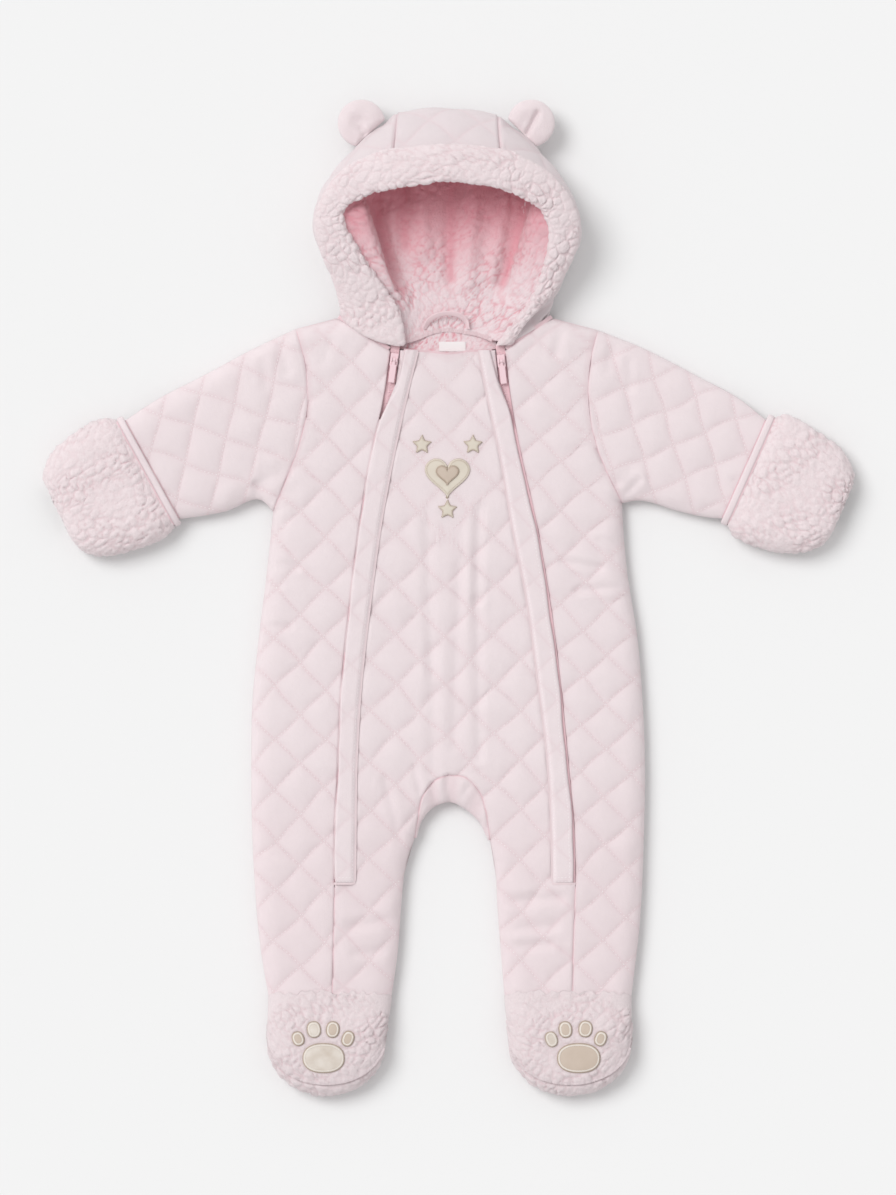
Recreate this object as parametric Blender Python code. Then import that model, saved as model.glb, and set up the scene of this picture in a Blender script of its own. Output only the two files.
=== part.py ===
"""A baby's quilted snowsuit with a hood, turn-back cuffs and booties, laid flat on its back.

The suit lies in the XY plane with the hood towards +Y and its front facing up, +Z. Its back
rests on z = 0. Tables and lengths are in millimetres, and meshes are made in metres. Left and
right mean -X and +X, as the suit is seen from above.
"""

import math

import bmesh
import bpy
import numpy as np
from mathutils import Vector
from mathutils.bvhtree import BVHTree

MM = 0.001

# ---------------------------------------------------------------- cloth and gaps
GAP = 0.3  # left between pieces that meet
HALF_GAP = GAP / 2
SEAM_Z = 9.0  # height of the side seams above the surface that the suit lies on
SEAM_EDGE = 0.8  # how far a cloth edge stands off the side seam
FRONT_Z = 18.4  # height of the front near its edges
CROWN = 1.8  # further rise towards the middle of a panel
CROWN_REACH = 62.0
EDGE_ROUND = 17.0  # how far in from the outline the front rounds over
BACK_ROUND = 12.0  # the same on the underside
QUILT = 9.0  # thickness of the padded, lined cloth

# ---------------------------------------------------------------- outlines (x, y)
SHOULDER_LEFT = [(-125, 224), (-90, 233)]
SHOULDER_RIGHT = [(124, 223), (86, 233)]
ARMHOLE_LEFT = [(-125, 224), (-118, 198), (-115, 165), (-121, 132), (-133, 99), (-144, 73)]
ARMHOLE_RIGHT = [(124, 223), (118, 198), (116, 165), (122, 130), (132, 104), (144, 80)]
SIDE_LEFT = [
    (-144, 73), (-148, 33), (-156, -33), (-161, -82), (-162, -132), (-160, -220),
    (-154, -290), (-148, -326),
]
SIDE_RIGHT = [
    (144, 80), (147, 33), (157, -33), (161, -82), (163, -132), (162, -200),
    (159, -264), (152, -326),
]
INNER_LEG_LEFT = [(-27, -196), (-34, -216), (-38, -250), (-41, -290), (-46, -326)]
INNER_LEG_RIGHT = [(35, -198), (39, -216), (41, -250), (44, -290), (47, -326)]
CENTER_FRONT = [(1, 203), (1, -144)]
BACK_NECK_Y = 230.0
NECK_SPACE = 0.6  # from a side front's neck edge to the hood's
GUSSET_SEAM_LEFT = [(1, -144), (-12, -150), (-20, -161), (-24, -178), (-27, -196)]
GUSSET_SEAM_RIGHT = [(1, -144), (16, -147), (26, -157), (32, -176), (35, -198)]
CROTCH_ARCH = [(-25.4, -196.6), (-21, -182), (-11, -171), (2, -167), (15, -173), (26.5, -184), (33.4, -198.6)]
SLEEVE_TOP_LEFT = [(-125, 224), (-155, 210), (-204, 184), (-237, 167), (-271, 145), (-309, 122)]
SLEEVE_LOW_LEFT = [(-144, 73), (-153, 82), (-184, 73), (-212, 68), (-229, 66), (-281, 56)]
SLEEVE_TOP_RIGHT = [(124, 223), (159, 209), (208, 184), (241, 166), (267, 145.5), (309, 122)]
SLEEVE_LOW_RIGHT = [(144, 80), (155, 82), (192, 73), (216, 68), (234, 67), (284, 56)]

# ---------------------------------------------------------------- zips (x of each line at a y)
ZIP_TOP_Y = 206.0
ZIP_END_Y = -233.0
CHANNEL = 8.3  # between a side front and the front centre, where the tape lies
ZIP_LINES = [  # y, edge of the left channel, of the right one, inner edge of each flap
    (206, -47, 47.4, -24, 25),
    (165, -53, 52.5, -34, 33),
    (124, -62, 60, -43, 42),
    (66, -72, 73, -54, 52),
    (0, -80, 84.5, -63, 65),
    (-66, -87, 93, -70.5, 74),
    (-132, -90, 99.5, -74.5, 82),
    (-198, -93, 105, -75.5, 85.5),
    (-233, -93, 105.5, -76, 86),
    (-280, -94, 104, -77, 86),
    (-326, -95, 103, -78, 86),
]
FLAP = 2.2  # thickness of a doubled flap
FLAP_SHAPE = (0.8, 1.0, 0.75)  # shares of it at the free edge, the middle and the seam
FLAP_REVEAL = [(206, 12.5), (177, 9.8), (160, 3.0), (146, 0.8), (-233, 0.8)]  # y, uncovered zip
TAPE = 2.4
TAPE_DROP = 3.6  # from the front's surface down to the tape
TEETH_RISE = 0.6  # the closed teeth stand above the tape
TAPE_ACROSS = (0.3, 2.3, 5.7, 7.7)  # edges of the tape and of its teeth, across the channel

# ---------------------------------------------------------------- folds in the front
FOLDS = [  # x0, y0, x1, y1, half-width, depth (a ridge where it is negative)
    (-13, 62, -13, -140, 7, 1.0),
    (6, 66, 6, -120, 7, 0.9),
    (25, 60, 26, -130, 8, 0.9),
    (-158, 92, -140, 104, 8, 3.0),
    (143, 96, 158, 84, 8, 3.0),
    (-80, -270, -48, -264, 7, 1.6),
    (48, -248, 92, -246, 7, 1.8),
    (50, -272, 88, -268, 7, 1.6),
    (46, -286, 84, -284, 7, 1.4),
    (93, 220, 90, 204, 5, 1.6),
]

# ---------------------------------------------------------------- grid fractions
ARM_ROWS = (0, 0.045, 0.2, 0.5, 0.8, 0.955, 1)
SIDE_COLUMNS = (0, 0.05, 0.17, 0.42, 0.7, 1)
BACK_COLUMNS = (0, 0.03, 0.1, 0.3, 0.6, 0.9, 1)
BODY_ROWS = 14  # rows from the underarm to the ankle
CENTER_ROWS = 13  # rows from the neck to the gusset
ARC_ROWS = 4  # rows along each half of the gusset's seam


# ================================================================ small tools
def smooth_curve(points, fractions):
    """Points at fractions of the length of a smooth curve through the given points."""
    p = np.array(points, float)
    chord = np.r_[0, np.cumsum(np.linalg.norm(np.diff(p, axis=0), axis=1))]
    slope = np.gradient(p, chord, axis=0)
    at = np.linspace(0, chord[-1], 24 * len(p))
    i = np.clip(np.searchsorted(chord, at, side="right") - 1, 0, len(p) - 2)
    h = (chord[i + 1] - chord[i])[:, None]
    s = (at - chord[i])[:, None] / h
    curve = (
        (2 * s**3 - 3 * s**2 + 1) * p[i]
        + (s**3 - 2 * s**2 + s) * h * slope[i]
        + (3 * s**2 - 2 * s**3) * p[i + 1]
        + (s**3 - s**2) * h * slope[i + 1]
    )
    length = np.r_[0, np.cumsum(np.linalg.norm(np.diff(curve, axis=0), axis=1))]
    want = np.array(fractions) * length[-1]
    return np.stack([np.interp(want, length, curve[:, k]) for k in range(p.shape[1])], axis=1)


def even(count):
    """Fractions that split a length into equal steps."""
    return np.linspace(0, 1, count)


def eased(t):
    """A smooth step from 0 to 1."""
    t = np.clip(t, 0, 1)
    return t * t * (3 - 2 * t)


def quarter_round(t):
    """The height of a quarter circle at t, and 1 past it."""
    t = np.clip(t, 0, 1)
    return np.sqrt(np.clip(1 - (1 - t) ** 2, 0, 1))


def patch(first, last, columns, top=None, bottom=None):
    """A grid of plan points: a row runs from first[i] to last[i], and the ends follow top and bottom."""
    first, last, u = np.array(first), np.array(last), np.array(columns)[None, :, None]
    grid = first[:, None] * (1 - u) + last[:, None] * u
    v = even(len(first))[:, None, None]
    if top is not None:
        grid = grid + (1 - v) * (np.array(top)[None] - grid[:1])
    if bottom is not None:
        grid = grid + v * (np.array(bottom)[None] - grid[-1:])
    return grid


def distance_to(points, line):
    """How far each plan point is from a chain of straight pieces."""
    p = points[..., None, :]
    a, b = line[:-1], line[1:]
    d = b - a
    t = np.clip(((p - a) * d).sum(-1) / (d * d).sum(-1), 0, 1)
    return np.linalg.norm(p - a - t[..., None] * d, axis=-1).min(-1)


# ================================================================ the lie of the cloth
def body_outline():
    """The chains that the laid suit rounds down to: sides, inner legs and both sleeves."""
    return [
        smooth_curve(SHOULDER_LEFT, even(3)),
        smooth_curve(SHOULDER_RIGHT, even(3)),
        smooth_curve(SIDE_LEFT + [(-144, -420)], even(40)),
        smooth_curve(SIDE_RIGHT + [(148, -420)], even(40)),
        np.array(CROTCH_ARCH, float),
        smooth_curve(INNER_LEG_LEFT + [(-50, -420)], even(24)),
        smooth_curve(INNER_LEG_RIGHT + [(52, -420)], even(24)),
        smooth_curve(SLEEVE_TOP_LEFT, even(24)),
        smooth_curve(SLEEVE_LOW_LEFT, even(24)),
        smooth_curve(SLEEVE_TOP_RIGHT, even(24)),
        smooth_curve(SLEEVE_LOW_RIGHT, even(24)),
    ]


OUTLINE = body_outline()


def edge_distance(points):
    """How far plan points are in from the suit's outline."""
    return np.min([distance_to(points, line) for line in OUTLINE], axis=0)


def folds_at(points):
    """How deep the folds in the front are at plan points."""
    depth = np.zeros(points.shape[:-1])
    for x0, y0, x1, y1, width, deep in FOLDS:
        d = distance_to(points, np.array([(x0, y0), (x1, y1)], float))
        depth += deep * np.exp(-((d / width) ** 2))
    return depth


def front_height(points):
    """Height of the front's outer surface at plan points."""
    d = edge_distance(points)
    low = SEAM_Z + SEAM_EDGE
    rounded = low + (FRONT_Z - low) * quarter_round(d / EDGE_ROUND)
    return rounded + CROWN * eased(d / CROWN_REACH) - folds_at(points) * eased(d / EDGE_ROUND)


def back_height(points):
    """Height of the back's outer surface, which is flat on the ground away from its edges."""
    d = edge_distance(points)
    return (SEAM_Z - SEAM_EDGE) * (1 - quarter_round(d / BACK_ROUND))


def with_height(plan, height):
    """Plan points and their heights as points in space."""
    return np.concatenate([plan, np.broadcast_to(height, plan.shape[:-1])[..., None]], axis=-1)


def zip_x(y, column):
    """The x of one of the zip lines at heights y; columns as in ZIP_LINES."""
    table = np.array(ZIP_LINES)[::-1]
    return smooth_at(table[:, 0], table[:, column], y)


def smooth_at(xs, ys, at):
    """A smooth curve through the values ys at the increasing places xs, read at other places."""
    xs, ys = np.asarray(xs, float), np.asarray(ys, float)
    slope = np.gradient(ys, xs)
    at = np.clip(at, xs[0], xs[-1])
    i = np.clip(np.searchsorted(xs, at, side="right") - 1, 0, len(xs) - 2)
    h = xs[i + 1] - xs[i]
    s = (at - xs[i]) / h
    return (
        (2 * s**3 - 3 * s**2 + 1) * ys[i]
        + (s**3 - 2 * s**2 + s) * h * slope[i]
        + (3 * s**2 - 2 * s**3) * ys[i + 1]
        + (s**3 - s**2) * h * slope[i + 1]
    )


# ================================================================ materials and meshes
def material(name, color, roughness, metallic=0.0):
    """A plain finish."""
    made = bpy.data.materials.new(name)
    made.use_nodes = True
    shader = made.node_tree.nodes["Principled BSDF"]
    shader.inputs["Base Color"].default_value = (*color, 1)
    shader.inputs["Roughness"].default_value = roughness
    shader.inputs["Metallic"].default_value = metallic
    return made


class Finish:
    """The colours of the suit's cloths and hard pieces."""

    @classmethod
    def make(cls):
        cls.quilted = material("quilted_cloth", (0.80, 0.68, 0.70), 0.85)
        cls.sherpa = material("sherpa_pile", (0.80, 0.69, 0.70), 0.95)
        cls.lining = material("sherpa_lining", (0.74, 0.53, 0.56), 0.95)
        cls.plain = material("plain_cloth", (0.79, 0.67, 0.69), 0.8)
        cls.satin = material("satin_pad", (0.66, 0.56, 0.47), 0.4)
        cls.motif = material("motif_satin", (0.64, 0.58, 0.48), 0.45)
        cls.label = material("label_satin", (0.88, 0.87, 0.86), 0.5)
        cls.tape = material("zip_tape", (0.78, 0.62, 0.65), 0.7)
        cls.plastic = material("zip_plastic", (0.80, 0.62, 0.66), 0.35)


def add_object(name, points, faces, finish):
    """An object from points in millimetres, with its faces turned outwards."""
    mesh = bpy.data.meshes.new(name)
    mesh.from_pydata([tuple(p * MM) for p in np.array(points, float)], [], [tuple(f) for f in faces])
    shape = bmesh.new()
    shape.from_mesh(mesh)
    bmesh.ops.recalc_face_normals(shape, faces=shape.faces)
    bmesh.ops.triangulate(shape, faces=shape.faces)
    if shape.calc_volume(signed=True) < 0:
        bmesh.ops.reverse_faces(shape, faces=shape.faces)
    shape.to_mesh(mesh)
    shape.free()
    mesh.shade_smooth()
    mesh.set_sharp_from_angle(angle=math.radians(40))
    mesh.materials.append(finish)
    made = bpy.data.objects.new(name, mesh)
    bpy.context.scene.collection.objects.link(made)
    return made


class Sheet:
    """Gathers the two faces of a wall, cell by cell, and closes them along their open edges."""

    def __init__(self):
        self.outer, self.inner, self.cells, self.known = [], [], [], {}

    def point(self, outer, inner):
        """The number of a pair of points; a pair that is already there is used again."""
        key = tuple(np.round(outer, 3)) + tuple(np.round(inner, 3))
        if key not in self.known:
            self.known[key] = len(self.outer)
            self.outer.append(outer)
            self.inner.append(inner)
        return self.known[key]

    def grid(self, outer, inner, closed=False):
        """Adds a grid of pairs; a closed grid joins its last column to its first."""
        rows, columns = outer.shape[:2]
        number = [[self.point(outer[i, j], inner[i, j]) for j in range(columns)] for i in range(rows)]
        for i in range(rows - 1):
            for j in range(columns if closed else columns - 1):
                k = (j + 1) % columns
                cell = [number[i][j], number[i][k], number[i + 1][k], number[i + 1][j]]
                cell = [c for n, c in enumerate(cell) if c != cell[n - 1]]
                if len(cell) > 2:
                    self.cells.append(cell)
        return self

    def build(self, name, finish):
        """Makes the closed wall."""
        count, edges = len(self.outer), {}
        faces = [list(c) for c in self.cells] + [[count + n for n in reversed(c)] for c in self.cells]
        for cell in self.cells:
            for a, b in zip(cell, cell[1:] + cell[:1]):
                edges[(a, b)] = edges.get((a, b), 0) + 1
        for a, b in edges:
            if (b, a) not in edges:
                faces.append([b, a, count + a, count + b])
        return add_object(name, self.outer + self.inner, faces, finish)


def wall(name, plan, top, bottom, finish):
    """A panel of cloth between two heights over a grid of plan points."""
    return Sheet().grid(with_height(plan, top), with_height(plan, bottom)).build(name, finish)


def normals(grid, closed=False):
    """Unit normals of a grid of points, row by column."""
    if closed:
        wide = np.concatenate([grid[:, -1:], grid, grid[:, :1]], axis=1)
        across = (wide[:, 2:] - wide[:, :-2]) / 2
    else:
        across = np.gradient(grid, axis=1)
    along = np.gradient(grid, axis=0)
    n = np.cross(across, along)
    return n / np.maximum(np.linalg.norm(n, axis=-1, keepdims=True), 1e-9)


def rest_on(carrier, plan):
    """Heights of a finished piece's upper surface under plan points."""
    mesh = carrier.data
    tree = BVHTree.FromPolygons([v.co for v in mesh.vertices], [tuple(f.vertices) for f in mesh.polygons])
    flat = plan.reshape(-1, 2)
    heights = []
    for x, y in flat:
        place = tree.ray_cast(Vector((x * MM, y * MM, 1)), Vector((0, 0, -1)))[0]
        heights.append(place.z / MM)
    return np.array(heights).reshape(plan.shape[:-1])


def blob(center, size, turn=0.0, count=14, power=2.0):
    """A closed plan outline: an ellipse, squarer where power is over 2."""
    angles = np.linspace(0, 2 * math.pi, count, endpoint=False)
    c, s = np.cos(angles), np.sin(angles)
    x = size[0] / 2 * np.sign(c) * np.abs(c) ** (2 / power)
    y = size[1] / 2 * np.sign(s) * np.abs(s) ** (2 / power)
    a = math.radians(turn)
    turned = np.stack([x * math.cos(a) - y * math.sin(a), x * math.sin(a) + y * math.cos(a)], axis=1)
    return turned + np.array(center, float)


def patch_on(name, carrier, outline, thick, finish, clear=0.45):
    """A flat piece that lies on a finished one: its underside follows the carrier, moved out."""
    middle = outline.mean(axis=0)
    rings = np.stack([middle + (outline - middle) * f for f in (1, 0.55)])
    under = rest_on(carrier, rings) + clear
    center_under = float(rest_on(carrier, middle[None])[0]) + clear
    count = outline.shape[0]
    points = np.concatenate([
        with_height(rings, under + thick * np.array([[0.75], [1.0]])).reshape(-1, 3),
        [[*middle, center_under + thick]],
        with_height(rings, under).reshape(-1, 3),
        [[*middle, center_under]],
    ])
    half, faces = 2 * count + 1, []
    for j in range(count):
        k = (j + 1) % count
        faces += [[j, k, count + k, count + j], [count + j, count + k, 2 * count]]
        faces += [[half + k, half + j, half + count + j, half + count + k]]
        faces += [[half + count + k, half + count + j, half + 2 * count]]
        faces += [[k, j, half + j, half + k]]
    return add_object(name, points, faces, finish)


# ================================================================ trunk and legs
def zip_rows():
    """The heights of the rows of points that the fronts, tapes and flaps share."""
    arm = ZIP_TOP_Y + (110 - ZIP_TOP_Y) * np.array(ARM_ROWS)
    to_zip_end = np.linspace(110, ZIP_END_Y, BODY_ROWS - 2)[1:]
    below = np.linspace(ZIP_END_Y, -326, 4)[1:]
    return np.concatenate([arm, to_zip_end, below])


ROWS = zip_rows()


def channel_gap(y):
    """Width between a side front and the front centre at heights y."""
    return GAP + (CHANNEL - GAP) * (y >= ZIP_END_Y - 1)


def side_line(armhole, side):
    """A side front's outer edge, as plan points row by row."""
    arm = smooth_curve(armhole, ARM_ROWS)
    below = smooth_curve(side, even(len(ROWS) - len(ARM_ROWS) + 1))[1:]
    return np.concatenate([arm, below])


def line_at(column, offset):
    """A zip line moved sideways, as plan points row by row."""
    return np.stack([zip_x(ROWS, column) + offset, ROWS], axis=1)


def side_front_plan(left):
    """The plan grid of a side front, from its outer edge to the zip."""
    outer = side_line(ARMHOLE_LEFT, SIDE_LEFT) if left else side_line(ARMHOLE_RIGHT, SIDE_RIGHT)
    outer[: len(ARM_ROWS) - 1, 0] += HALF_GAP if left else -HALF_GAP
    inner = line_at(1, -HALF_GAP) if left else line_at(2, HALF_GAP)
    corner = SHOULDER_LEFT[1] if left else SHOULDER_RIGHT[1]
    below_hood = np.array([0, -NECK_SPACE])
    top = shoulder_and_neck(outer[0], corner + below_hood, inner[0] + below_hood, 3)
    return patch(outer, inner, SIDE_COLUMNS, top=top)


def shoulder_and_neck(tip, corner, middle, shoulder_points):
    """A panel's top edge: along the shoulder to the neck's corner, then along the neck."""
    shoulder = smooth_curve([tip, corner], even(shoulder_points))
    neck = corner + (middle - corner) * np.array([[1 / 3], [2 / 3], [1]])
    return np.concatenate([shoulder, neck])


def front_wall(name, plan):
    """A front panel: padded cloth that lies on the back."""
    top = front_height(plan)
    return wall(name, plan, top, np.maximum(SEAM_Z + HALF_GAP, top - QUILT), Finish.quilted)


def center_edge(left):
    """The front centre's inner edge: the centre line, the gusset seam and the inner leg."""
    seam, leg = (GUSSET_SEAM_LEFT, INNER_LEG_LEFT) if left else (GUSSET_SEAM_RIGHT, INNER_LEG_RIGHT)
    upper = smooth_curve(CENTER_FRONT, even(CENTER_ROWS))
    arc = smooth_curve(seam, even(ARC_ROWS + 1))[1:]
    inner_leg = smooth_curve(leg, even(len(ROWS) - CENTER_ROWS - ARC_ROWS + 1))[1:]
    return np.concatenate([upper, arc, inner_leg])


def center_columns(left):
    """Plan grid of half the front centre; its first column but one is the flap's seam."""
    sign = 1 if left else -1
    gap = channel_gap(ROWS) - HALF_GAP
    outer = line_at(1 if left else 2, 0)
    outer[:, 0] += sign * gap
    seam = line_at(3 if left else 4, 0)
    inner = center_edge(left)
    rest = patch(seam, inner, (0, 0.4, 0.75, 0.94, 1))
    return np.concatenate([outer[:, None], rest], axis=1)


def make_front_center():
    """The front centre, in one piece from the neck down into both inner legs."""
    sheet = Sheet()
    plans = [center_columns(True), center_columns(False)[:, ::-1]]
    for plan in plans:
        top = front_height(plan)
        low = np.maximum(SEAM_Z + HALF_GAP, top - QUILT)
        sheet.grid(with_height(plan, top), with_height(plan, low))
    return sheet.build("front_center_panel", Finish.quilted)


def back_half(left):
    """Plan grid of half the back, from its outer edge to the middle or the inner leg."""
    outer = side_line(ARMHOLE_LEFT, SIDE_LEFT) if left else side_line(ARMHOLE_RIGHT, SIDE_RIGHT)
    outer[: len(ARM_ROWS) - 1, 0] += HALF_GAP if left else -HALF_GAP
    inner = center_edge(left)
    inner[0, 1] = BACK_NECK_Y
    corner = np.array(SHOULDER_LEFT[1] if left else SHOULDER_RIGHT[1], float)
    return patch(outer, inner, BACK_COLUMNS, top=shoulder_and_neck(outer[0], corner, inner[0], 4))


def make_back():
    """The back, in one piece, flat where it rests."""
    sheet = Sheet()
    for plan in (back_half(True), back_half(False)[:, ::-1]):
        low = back_height(plan)
        sheet.grid(with_height(plan, np.full(low.shape, SEAM_Z - HALF_GAP)), with_height(plan, low))
    return sheet.build("back_panel", Finish.quilted)


def make_gusset():
    """The crotch gusset, folded round the crotch edge from the front to the back."""
    seam = np.concatenate([
        smooth_curve(GUSSET_SEAM_LEFT, even(ARC_ROWS + 1))[::-1],
        smooth_curve(GUSSET_SEAM_RIGHT, even(ARC_ROWS + 1))[1:],
    ])
    arch = smooth_curve(CROTCH_ARCH, even(2 * ARC_ROWS + 1))
    inward = arch - seam
    inward /= np.linalg.norm(inward, axis=1, keepdims=True)
    plan = patch(seam + inward * GAP, arch, (0, 0.45, 0.8, 1))
    top, low = front_height(plan), back_height(plan)
    return wall("crotch_gusset", plan, top, low, Finish.quilted)


# ================================================================ sleeves and cuffs
SLEEVE_STATIONS = (0, 0.06, 0.16, 0.3, 0.46, 0.62, 0.78, 0.9, 1)
CUFF_LIFT = 4.3  # the sleeve's underside is this high inside the cuff
CUFF_TOP = 19.2  # and its top this high
INTO_CUFF = (0.42, 0.22)  # where along the sleeve it starts to lift, and over what share
SLEEVE_WALL = 7.0
LININGS_APART = 0.4  # half the space between a sleeve's two lining faces
FOLD_INSET = 0.09  # the lining's folds lie in from the sleeve's edges by this share
CUFFS = {  # plan points of the top and the lower edge, then height and wall, station by station
    "left": [
        ((-274, 149), (-225, 60), 23.0, 3.4),
        ((-283, 150), (-236, 50), 26.5, 5.5),
        ((-298, 144), (-256, 42), 27.5, 6.5),
        ((-313, 134), (-276, 37), 27.5, 6.5),
        ((-326, 122), (-292, 37), 26.5, 6.0),
        ((-333, 108), (-304, 43), 23.0, 5.0),
        ((-334, 100), (-311, 52), 15.0, 3.0),
    ],
    "right": [
        ((271, 151), (231, 61), 23.0, 3.4),
        ((280, 153), (240, 50), 26.5, 5.5),
        ((295, 146), (258, 43), 27.5, 6.5),
        ((311, 136), (277, 39), 27.5, 6.5),
        ((326, 123), (296, 40), 26.5, 6.0),
        ((335, 106), (311, 47), 23.0, 5.0),
        ((335, 97), (318, 57), 15.0, 3.0),
    ],
}
BINDING = 6.0
RING_ACROSS = (0, 0.05, 0.2, 0.5, 0.8, 0.95, 1)


def ring_of(top_row, low_row):
    """One closed ring from the upper points and the lower points of a flattened tube."""
    return np.concatenate([top_row, low_row[1:-1][::-1]])


def flat_ring(a, b, low, high, inset):
    """A flattened ring between plan points a and b, drawn in by inset."""
    a, b = np.array(a, float), np.array(b, float)
    across = (b - a) / np.linalg.norm(b - a)
    a, b = a + across * inset, b - across * inset
    t = np.array(RING_ACROSS)
    plan = a + (b - a) * t[:, None]
    width = np.linalg.norm(b - a)
    swell = quarter_round(np.minimum(t, 1 - t) * width / (0.16 * width + 6))
    middle = (low + high) / 2
    top = with_height(plan, middle + (high - middle) * swell)
    under = with_height(plan, middle - (middle - low) * swell)
    return ring_of(top, under)


def sleeve_plan(left):
    """Plan grid of a sleeve, from the armhole to inside the cuff."""
    armhole = smooth_curve(ARMHOLE_LEFT if left else ARMHOLE_RIGHT, RING_ACROSS)
    armhole[1:-1, 0] += -HALF_GAP if left else HALF_GAP
    top = smooth_curve(SLEEVE_TOP_LEFT if left else SLEEVE_TOP_RIGHT, SLEEVE_STATIONS)
    low = smooth_curve(SLEEVE_LOW_LEFT if left else SLEEVE_LOW_RIGHT, SLEEVE_STATIONS)
    shift = np.array([-HALF_GAP if left else HALF_GAP, 0])
    return patch(top + shift, low + shift, RING_ACROSS, top=armhole)


def make_sleeve(side):
    """A sleeve: a flattened tube whose lining faces nearly meet."""
    plan = sleeve_plan(side == "left")
    along = np.array(SLEEVE_STATIONS)[:, None]
    across = np.array(RING_ACROSS)
    into = eased((along - INTO_CUFF[0]) / INTO_CUFF[1])
    swell = quarter_round(np.minimum(across, 1 - across)[None] / 0.2)
    middle = (CUFF_LIFT + CUFF_TOP) / 2
    top = front_height(plan)
    top += into * (middle + (CUFF_TOP - middle) * swell - top)
    under = back_height(plan)
    under += into * (middle - (middle - CUFF_LIFT) * swell - under)

    center = (1 - into) * SEAM_Z + into * middle
    inner_top = np.maximum(top - SLEEVE_WALL, center) + LININGS_APART
    inner_low = np.minimum(under + SLEEVE_WALL, center) - LININGS_APART
    first, width = plan[:, :1], plan[:, -1:] - plan[:, :1]
    curved = plan - first - width * across[None, :, None]
    inset = FOLD_INSET + (1 - 2 * FOLD_INSET) * across
    lining = first + width * inset[None, :, None] + curved * (1 - along[..., None]) ** 2
    outer, inner = [], []
    for i in range(len(plan)):
        outer.append(ring_of(with_height(plan[i], top[i]), with_height(plan[i], under[i])))
        inner.append(ring_of(with_height(lining[i], inner_top[i]), with_height(lining[i], inner_low[i])))
    grid = Sheet().grid(np.array(outer), np.array(inner), closed=True)
    return grid.build(f"sleeve_{side}", Finish.quilted)


def make_cuff(side):
    """A turned-back cuff, and the bound edge towards the elbow."""
    outer, inner = [], []
    for a, b, high, thick in CUFFS[side]:
        low = max(0.0, 10.0 - high / 2) if high < 20 else 0.0
        outer.append(flat_ring(a, b, low, high, 0))
        inner.append(flat_ring(a, b, min(3.6, low + thick), high - thick, thick))
    Sheet().grid(np.array(outer), np.array(inner), closed=True).build(f"cuff_{side}", Finish.sherpa)

    a, b, high, thick = CUFFS[side][0]
    run = np.array(b, float) - np.array(a, float)
    elbow = np.array([-run[1], run[0]]) / np.linalg.norm(run)
    elbow *= 1 if side == "left" else -1
    outer, inner = [], []
    for step in (GAP, GAP + BINDING):
        start, end = np.array(a) + elbow * step, np.array(b) + elbow * step
        outer.append(flat_ring(start, end, 0.0, high, 0.2))
        inner.append(flat_ring(start, end, 3.4, high - thick, thick))
    grid = Sheet().grid(np.array(outer), np.array(inner), closed=True)
    grid.build(f"cuff_binding_{side}", Finish.plain)


# ================================================================ booties
FOOT_HIGH = 27.5
FOOT_SEAM_Z = 12.0
FOOT_ROUND = 26.0
BOOTIE_WALL = 12.0  # pile on both faces with wadding between
FEET = {  # middle x, half width at the ankle and at the toes, y where the toes start to round
    "left": {"ankle": (-148, -46), "toe": (-149, -51), "bend": -366, "tip": -409},
    "right": {"ankle": (152, 47), "toe": (152, 50), "bend": -366, "tip": -409},
}
FOOT_ACROSS = (-1, -0.93, -0.72, -0.38, 0, 0.38, 0.72, 0.93, 1)
FOOT_DOWN = (0, 0.14, 0.34, 0.55, 0.74, 0.86)
TOE_DOWN = (0.868, 0.93, 0.975, 1)
ANKLE_Y = -326.0
PADS = {
    "left": [((-102, -377), (34, 24), 0), ((-123, -361), (9.5, 11.5), 20), ((-110, -353.5), (11, 13), 8),
             ((-94.5, -353.5), (10.5, 13), -6), ((-82, -361), (9.5, 12.5), -20)],
    "right": [((108, -377), (35, 24), 0), ((85.5, -361.5), (9.5, 12.5), 20), ((97, -353.5), (10.5, 13), 6),
              ((113.5, -353), (11, 13), -8), ((126, -361), (9.5, 12), -20)],
}
PAD = 1.6


def foot_plan(side, down):
    """Plan grid of a bootie: columns run from the ankle to the rounded toes."""
    foot = FEET[side]
    u, v = np.array(FOOT_ACROSS)[None], np.array(down)[:, None]
    half_ankle = (foot["ankle"][1] - foot["ankle"][0]) / 2
    half_toe = (foot["toe"][1] - foot["toe"][0]) / 2
    end = foot["bend"] - (foot["bend"] - foot["tip"]) * (1 - np.abs(u) ** 2.3) ** (1 / 2.3)
    y = ANKLE_Y - GAP + v * (end - ANKLE_Y + GAP)
    t = eased((ANKLE_Y - y) / (ANKLE_Y - foot["bend"]))
    middle = (sum(foot["ankle"]) * (1 - t) + sum(foot["toe"]) * t) / 2
    half = half_ankle * (1 - t) + half_toe * t
    return np.stack([middle + u * half + 0 * v, y + 0 * u], axis=-1)


def foot_outline(side):
    """The bootie's outline, with its sides carried on up the leg."""
    foot = FEET[side]
    rim = foot_plan(side, FOOT_DOWN + TOE_DOWN)
    left, right = rim[:, 0], rim[:, -1]
    up = np.array([[foot["ankle"][0], -250.0]])
    up_right = np.array([[foot["ankle"][1], -250.0]])
    return np.concatenate([up, left, rim[-1, 1:-1], right[::-1], up_right])


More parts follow.
